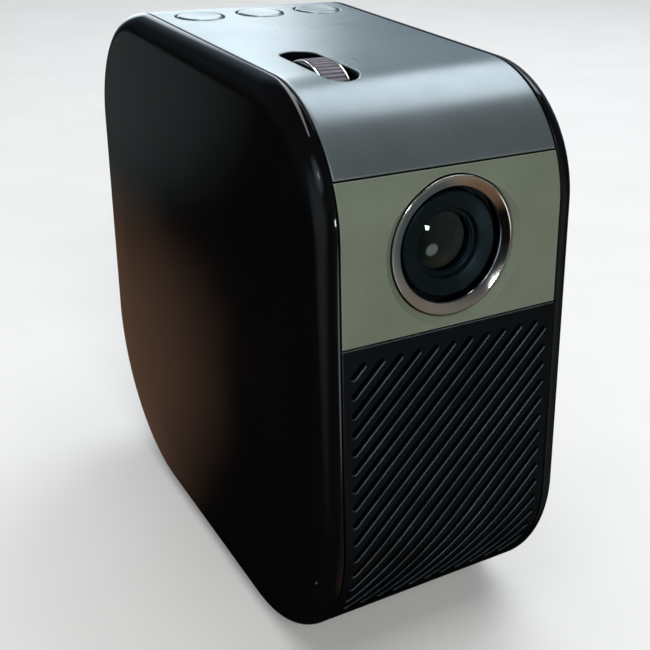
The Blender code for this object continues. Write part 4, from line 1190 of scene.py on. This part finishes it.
def buildButton(node):
    middle, _ = middleAndSize(node)
    look = buttonLook
    top, dish, radius, under = look["proud"], look["dish"], look["radius"], look["under"]
    flange, stem = radius + look["flangeWidth"], look["stemRadius"]
    points = [
        (0, top - dish, 0), (look["dishRadius"], top - dish * 0.75, 1.5), (radius - 0.7, top, 0.4),
        (radius, top - 0.5, 0.35), (radius, -under, 0.1), (flange, -under, 0.15),
        (flange, -look["flange"], 0.15), (stem, -look["flange"], 0.2),
        (stem, -look["stem"], 0.3), (0, -look["stem"], 0),
    ]
    place = at(middle.x, middle.y, bodyTop)
    return turnedShape(node + "_cap", inMetres(points), False, place, look["turns"])


for buttonNode in buttonNodes:
    buttonBody = buttonNode.replace("top_", "")
    stand(buildButton(buttonNode), buttonBody, [buttonNode], "button", "silver_flake_paint")
print("buttons made")


# feet, screws and tripod insert

footLook = {
    "taper": 0.92, "padRim": 0.55, "padHollow": 0.45,     # of the radius
    "hollow": 0.35 * mm,
    "turns": 48,
}
screwLook = {
    "shank": 1.2 * mm, "tip": 0.7 * mm, "tipLength": 1 * mm,
    "head": 0.75 * mm, "headEdge": 0.3 * mm, "headFlat": 0.8,
    "cross": (2.6 * mm, 0.55 * mm, 1.1 * mm), "crossTurn": 0.35,
    "turns": 40,
}
insertLook = {
    "crest": 3.0 * mm, "root": 3.35 * mm, "pitch": 1.27 * mm, "mouth": 0.3 * mm, "end": 0.4 * mm,
    "rootAt": 0.35, "crestAt": 0.85,     # shares of the pitch
    "turns": 64,
}


def buildFoot(node):
    middle, size = middleAndSize(node)
    look = footLook
    height, radius, hollow = size.z, size.x / 2, look["hollow"]
    points = [
        (0, height, 0), (radius, height, 0), (radius * look["taper"], 0, 0.5 * mm),
        (radius * look["padRim"], 0, 0.3 * mm), (radius * look["padHollow"], hollow, 0.3 * mm),
        (0, hollow, 0),
    ]
    place = at(middle.x, middle.y, 0)
    return turnedShape(node + "_pad", points, False, place, look["turns"])


def buildScrew(node):
    middle, size = middleAndSize(node)
    look = screwLook
    height, head, shank = size.z, size.x / 2, look["shank"]
    points = [
        (0, height, 0), (look["tip"], height, 0.2 * mm), (shank, height - look["tipLength"], 0),
        (shank, look["head"], 0), (head, look["head"], 0.1 * mm),
        (head, look["headEdge"], 0.2 * mm), (head * look["headFlat"], 0, 0.3 * mm), (0, 0, 0),
    ]
    place = at(middle.x, middle.y, middle.z - height / 2)
    screw = turnedShape(node + "_head", points, False, place, look["turns"])
    for turn in (0, math.pi / 2):
        spin = Matrix.Rotation(turn + look["crossTurn"], 4, "Z")
        blade = boxShape("cross_cutter", look["cross"], place @ spin)
        combine(screw, blade, "DIFFERENCE")
    return screw


def buildInsert():
    middle, size = middleAndSize("tripod_insert")
    outer, height = size.x / 2, size.z
    look = insertLook
    crest, root, pitch = look["crest"], look["root"], look["pitch"]
    points = [(outer, height, 0.2 * mm), (outer, 0, 0.3 * mm), (root + look["mouth"], 0, 0)]
    turn = 0
    while (turn + 1) * pitch < height - look["end"]:
        points.append((root, (turn + look["rootAt"]) * pitch, 0))
        points.append((crest, (turn + look["crestAt"]) * pitch, 0))
        turn += 1
    points.append((root, height, 0))
    place = at(0, middle.y, middle.z - height / 2)
    return turnedShape("tripod_thread", points, True, place, look["turns"])


for footNode in footNodes:
    stand(buildFoot(footNode), "casing", [footNode], "foot", "foot_rubber")
for screwNode in screwNodes:
    stand(buildScrew(screwNode), "casing", [screwNode], "screw", "zinc_plated_steel")
stand(buildInsert(), "casing", ["tripod_insert"], "insert", "turned_brass")
print("feet, screws and insert made")


# rear sockets

facingRear = Matrix.Rotation(-math.pi / 2, 4, "X")
socketLook = {
    "shellWall": 0.4 * mm, "shellEdge": 0.08 * mm,
    "tongueShorter": 1.4 * mm, "tongueSunk": 0.6 * mm, "tongueEdge": 0.15 * mm,
    "backInset": 0.9 * mm, "backDepth": 0.9 * mm, "backSunk": 0.5 * mm,
    "contactHeight": 0.06 * mm,
    "contactRow": 0.9, "contactWidth": 0.4, "contactLength": 0.7,   # shares of the tongue
    "cutCorner": 1.6 * mm, "roundCorner": 0.4 * mm,
    "floor": 1 * mm, "pinSunk": 1.5 * mm, "boreLead": 0.3 * mm,
    "turns": 64,
}


def socketFrame(node):
    # the middle of the socket's rear face
    middle, size = middleAndSize(node)
    return at(middle.x, middle.y + size.y / 2, middle.z), size


def buildFlatSocket(node, outline, tongue, contacts):
    # a drawn shell, its tongue inside and a row of contacts on the tongue
    look = socketLook
    place, size = socketFrame(node)
    walls = [outline(look["shellWall"])]
    shape = outlineShape(node + "_shell", outline(0), walls, size.y, look["shellEdge"], 1)
    stood = place @ at(0, -size.y / 2, 0) @ Matrix.Rotation(math.pi / 2, 4, "X")
    bmesh.ops.transform(shape, matrix=stood, verts=shape.verts)
    shell = meshPiece(node + "_shell", shape)
    width, thickness, up = tongue
    blade = boxShape(
        node + "_tongue", (width, size.y - look["tongueShorter"], thickness),
        place @ at(0, -size.y / 2 - look["tongueSunk"], up), look["tongueEdge"],
    )
    inset = look["backInset"]
    back = boxShape(
        node + "_back", (size.x - inset, look["backDepth"], size.z - inset),
        place @ at(0, look["backSunk"] - size.y, 0),
    )
    combine(blade, back, "UNION")
    strips = bmesh.new()
    for index in range(contacts):
        x = (index - (contacts - 1) / 2) * width * look["contactRow"] / contacts
        z = up - thickness / 2 - look["contactHeight"] / 2
        strip = (
            width * look["contactWidth"] / contacts, size.y * look["contactLength"],
            look["contactHeight"], 1,
        )
        spot = place @ at(x, -size.y / 2, z) @ Matrix.Diagonal(strip)
        bmesh.ops.create_cube(strips, size=1, matrix=spot)
    pins = meshPiece(node + "_contacts", strips)
    stand(shell, "casing", [node], "socket_shell", "nickel_plated_sheet")
    for piece, finish in ((blade, "contact_polymer"), (pins, "turned_brass")):
        piece.data.materials.append(finishes[finish])
        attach(piece, "casing")


def wideOutline(inset):
    # the wider shell: a rectangle whose two lower corners are cut in
    _, size = socketFrame("hdmi_socket")
    x, z = size.x / 2 - inset, size.z / 2 - inset
    cut = socketLook["cutCorner"]
    return [(x, z), (-x, z), (-x, -z + cut), (-x + cut, -z), (x - cut, -z), (x, -z + cut)]


def plainOutline(inset):
    _, size = socketFrame("usb_socket")
    x, z = size.x / 2 - inset, size.z / 2 - inset
    return rectangle(0, 0, x, z, socketLook["roundCorner"])


flatLook = {
    # outline, the tongue's width, thickness and height, and its contacts
    "hdmi_socket": (wideOutline, (11 * mm, 1 * mm, 0.1 * mm), 10),
    "usb_socket": (plainOutline, (10.8 * mm, 1.8 * mm, 1 * mm), 4),
}
for flatNode, (outline, tongue, contacts) in flatLook.items():
    buildFlatSocket(flatNode, outline, tongue, contacts)


def buildRoundSocket(node, bore, pin):
    look = socketLook
    place, size = socketFrame(node)
    outer = size.x / 2
    floor, lead, sunk = look["floor"] - size.y, look["boreLead"], look["pinSunk"]
    centre = [(0, floor, 0)]
    if pin:
        centre = [(0, -sunk, 0), (pin, -sunk, 0.4 * mm), (pin, floor, 0)]
    points = [
        *centre, (bore, floor, 0), (bore, -lead, 0.2 * mm), (bore + lead, 0, 0.15 * mm),
        (outer, 0, 0.3 * mm), (outer, -size.y, 0), (0, -size.y, 0),
    ]
    return turnedShape(node + "_moulding", points, False, place @ facingRear, look["turns"])


roundLook = {
    # radii of the bore and of the pin in it
    "dc_socket": (3.1 * mm, 1 * mm),
    "audio_socket": (1.8 * mm, 0),
}
for roundNode, (bore, pin) in roundLook.items():
    roundSocket = buildRoundSocket(roundNode, bore, pin)
    stand(roundSocket, "casing", [roundNode], "socket_black", "contact_polymer")

irLook = {"face": 0.6 * mm, "crown": 0.15 * mm, "shoulder": 0.5 * mm, "turns": 48}


def buildIrLens():
    look = irLook
    place, size = socketFrame("ir_window")
    radius = size.x / 2
    points = [
        (0, 0, 0), (radius - look["face"], -look["crown"], 1 * mm),
        (radius, -look["shoulder"], 0.3 * mm), (radius, -size.y, 0.1 * mm), (0, -size.y, 0),
    ]
    return turnedShape("ir_window_lens", points, False, place @ facingRear, look["turns"])


stand(buildIrLens(), "casing", ["ir_window"], "ir", "dyed_acrylic")
print("sockets made")


# inner nodes keep their own shape and take a finish

innerFinishes = {
    "zinc_plated_steel": ("inner_frame", "focus_bracket", "speaker_basket", "speaker_magnet"),
    "turned_brass": ("focus_axle",),
    "glass_filled_nylon": ("focus_rack", "light_engine_housing", "fan_frame", "fan_rotor"),
    "black_anodised_aluminium": ("lens_guide",),
    "solder_resist": ("mirror_chip_board", "main_board", "button_board"),
    "red_epoxy": ("led_module_red",),
    "green_epoxy": ("led_module_green",),
    "blue_epoxy": ("led_module_blue",),
    "extruded_aluminium": ("heat_sink",),
    "shrink_sleeve": ("battery_pack",),
    "paper_pulp": ("speaker_cone",),
}
for finishName, nodeNames in innerFinishes.items():
    for nodeName in nodeNames:
        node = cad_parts[nodeName]
        node.data.materials.clear()
        node.data.materials.append(finishes[finishName])
print("inner nodes finished")


# floor, lights and surroundings

studio = {
    "floor": "#F2F1EF",
    "floorTwo": "#F6F5F3",
    "floorSize": 8.0,
    "fibreSize": 60,              # mm
    "aim": (0, 0, 0.08),
    "lamps": (
        # name, place, size, watts, colour; a gloss lamp only shows in reflections
        ("top_softbox", (0.72, 0.40, 1.05), (0.70, 0.80), 4.6, "#F4F8FF"),
        ("front_window", (0.17, -1.10, 0.20), (0.09, 0.09), 0.8, "#FFFFFF"),
        ("strip_gloss", (0.25, 0.55, 1.25), (0.16, 2.6), 5.5, "#F6FAFF"),
    ),
    "fills": (
        # light the surfaces, with no reflection of their own
        ("front_fill", (-0.6, -1.6, 1.0), (1.2, 1.0), 22.0, "#FFFDF8"),
        ("overhead_fill", (0.0, 0.2, 2.0), (2.4, 2.4), 30.0, "#FFFFFF"),
    ),
    "skyStops": ((0.0, "#090808"), (0.40, "#100E0D"), (0.52, "#1F2428"), (0.62, "#343B42"),
                 (1.0, "#20262B")),
    "glows": (
        # direction, angle of its full part and of its edge in degrees, colour, strength
        ((0.24, 0.95, 0.12), 3, 16, "#EAF6FA", 2.4),
        ((-0.81, -0.58, 0.05), 8, 38, "#8C9AA4", 1.1),
        ((0.54, 0.81, 0.22), 8, 46, "#A9BECF", 0.44),
        ((-0.16, 0.86, -0.46), 3, 12, "#B98E74", 0.52),
        ((-0.27, 0.93, -0.20), 2, 10, "#8C9C9C", 0.32),
        ((-0.43, -0.63, 0.61), 3, 18, "#C4D8E4", 1.3),
        ((-0.40, -0.66, 0.63), 1, 4, "#E4F0F4", 6.0),
        ((0.27, -0.90, -0.36), 5, 8, "#E8ECEC", 2.2),
        ((0.60, -0.76, -0.10), 10, 40, "#9A8E80", 0.50),
        ((0.79, -0.39, -0.46), 8, 34, "#7C9096", 0.30),
        ((0.28, -0.62, -0.70), 8, 26, "#A58468", 0.40),
    ),
}


def buildFloor():
    shape = bmesh.new()
    bmesh.ops.create_grid(shape, x_segments=1, y_segments=1, size=studio["floorSize"] / 2)
    floor = meshPiece("floor", shape)
    material, tree, shader, place = newTree("pale_paper")
    fibre = addNode(
        tree, "ShaderNodeTexNoise",
        {"Scale": perMetre(studio["fibreSize"]), "Detail": 5.0}, {"Vector": place},
    )
    tone = addNode(
        tree, "ShaderNodeValToRGB",
        {"stops": [(0.3, studio["floor"]), (0.7, studio["floorTwo"])]},
        {"Fac": fibre.outputs["Fac"]},
    )
    tree.links.new(tone.outputs["Color"], shader.inputs["Base Color"])
    setSockets(shader, {"Roughness": 0.9, "IOR": 1.3})
    floor.data.materials.append(material)
    floor.visible_glossy = False
    floor.visible_transmission = False   # the lens doesn't mirror the paper


def buildLamps():
    for name, place, size, watts, colour in (*studio["lamps"], *studio["fills"]):
        data = bpy.data.lights.new(name, "AREA")
        data.shape = "RECTANGLE"
        data.size, data.size_y = size
        data.energy = watts
        data.color = linear(colour)[:3]
        lamp = bpy.data.objects.new(name, data)
        lamp.location = place
        aim = Vector(studio["aim"]) - Vector(place)
        lamp.rotation_euler = aim.to_track_quat("-Z", "Y").to_euler()
        lamp.visible_glossy = not name.endswith("fill")
        lamp.visible_transmission = lamp.visible_glossy
        lamp.visible_diffuse = not name.endswith("gloss")
        bpy.context.scene.collection.objects.link(lamp)


def buildSky():
    # a dim room, lighter at the horizon, with a few soft glows for the gloss to pick up
    world = bpy.data.worlds.new("studio")
    bpy.context.scene.world = world
    world.use_nodes = True
    tree = world.node_tree
    way = addNode(tree, "ShaderNodeTexCoord").outputs["Generated"]
    parts = addNode(tree, "ShaderNodeSeparateXYZ", None, {"Vector": way})
    level = addNode(
        tree, "ShaderNodeMapRange", {"From Min": -1.0, "From Max": 1.0},
        {"Value": parts.outputs["Z"]},
    )
    colour = addNode(
        tree, "ShaderNodeValToRGB", {"stops": studio["skyStops"]}, {"Fac": level.outputs["Result"]}
    ).outputs["Color"]
    for direction, full, edge, tint, strength in studio["glows"]:
        toward = addNode(
            tree, "ShaderNodeVectorMath",
            {"operation": "DOT_PRODUCT", 1: Vector(direction).normalized()}, {0: way},
        )
        glow = addNode(
            tree, "ShaderNodeMapRange",
            {
                "interpolation_type": "SMOOTHSTEP", "From Min": math.cos(math.radians(edge)),
                "From Max": math.cos(math.radians(full)), "To Max": strength,
            },
            {"Value": toward.outputs["Value"]},
        )
        layer = addNode(
            tree, "ShaderNodeMix", {"data_type": "RGBA", "blend_type": "ADD"},
            {0: glow.outputs["Result"], 6: colour},
        )
        layer.clamp_factor = False
        layer.inputs[7].default_value = linear(tint)
        colour = layer.outputs[2]
    tree.links.new(colour, tree.nodes["Background"].inputs["Color"])


buildFloor()
buildLamps()
buildSky()
bpy.context.scene.view_settings.view_transform = "Standard"
print("studio made")
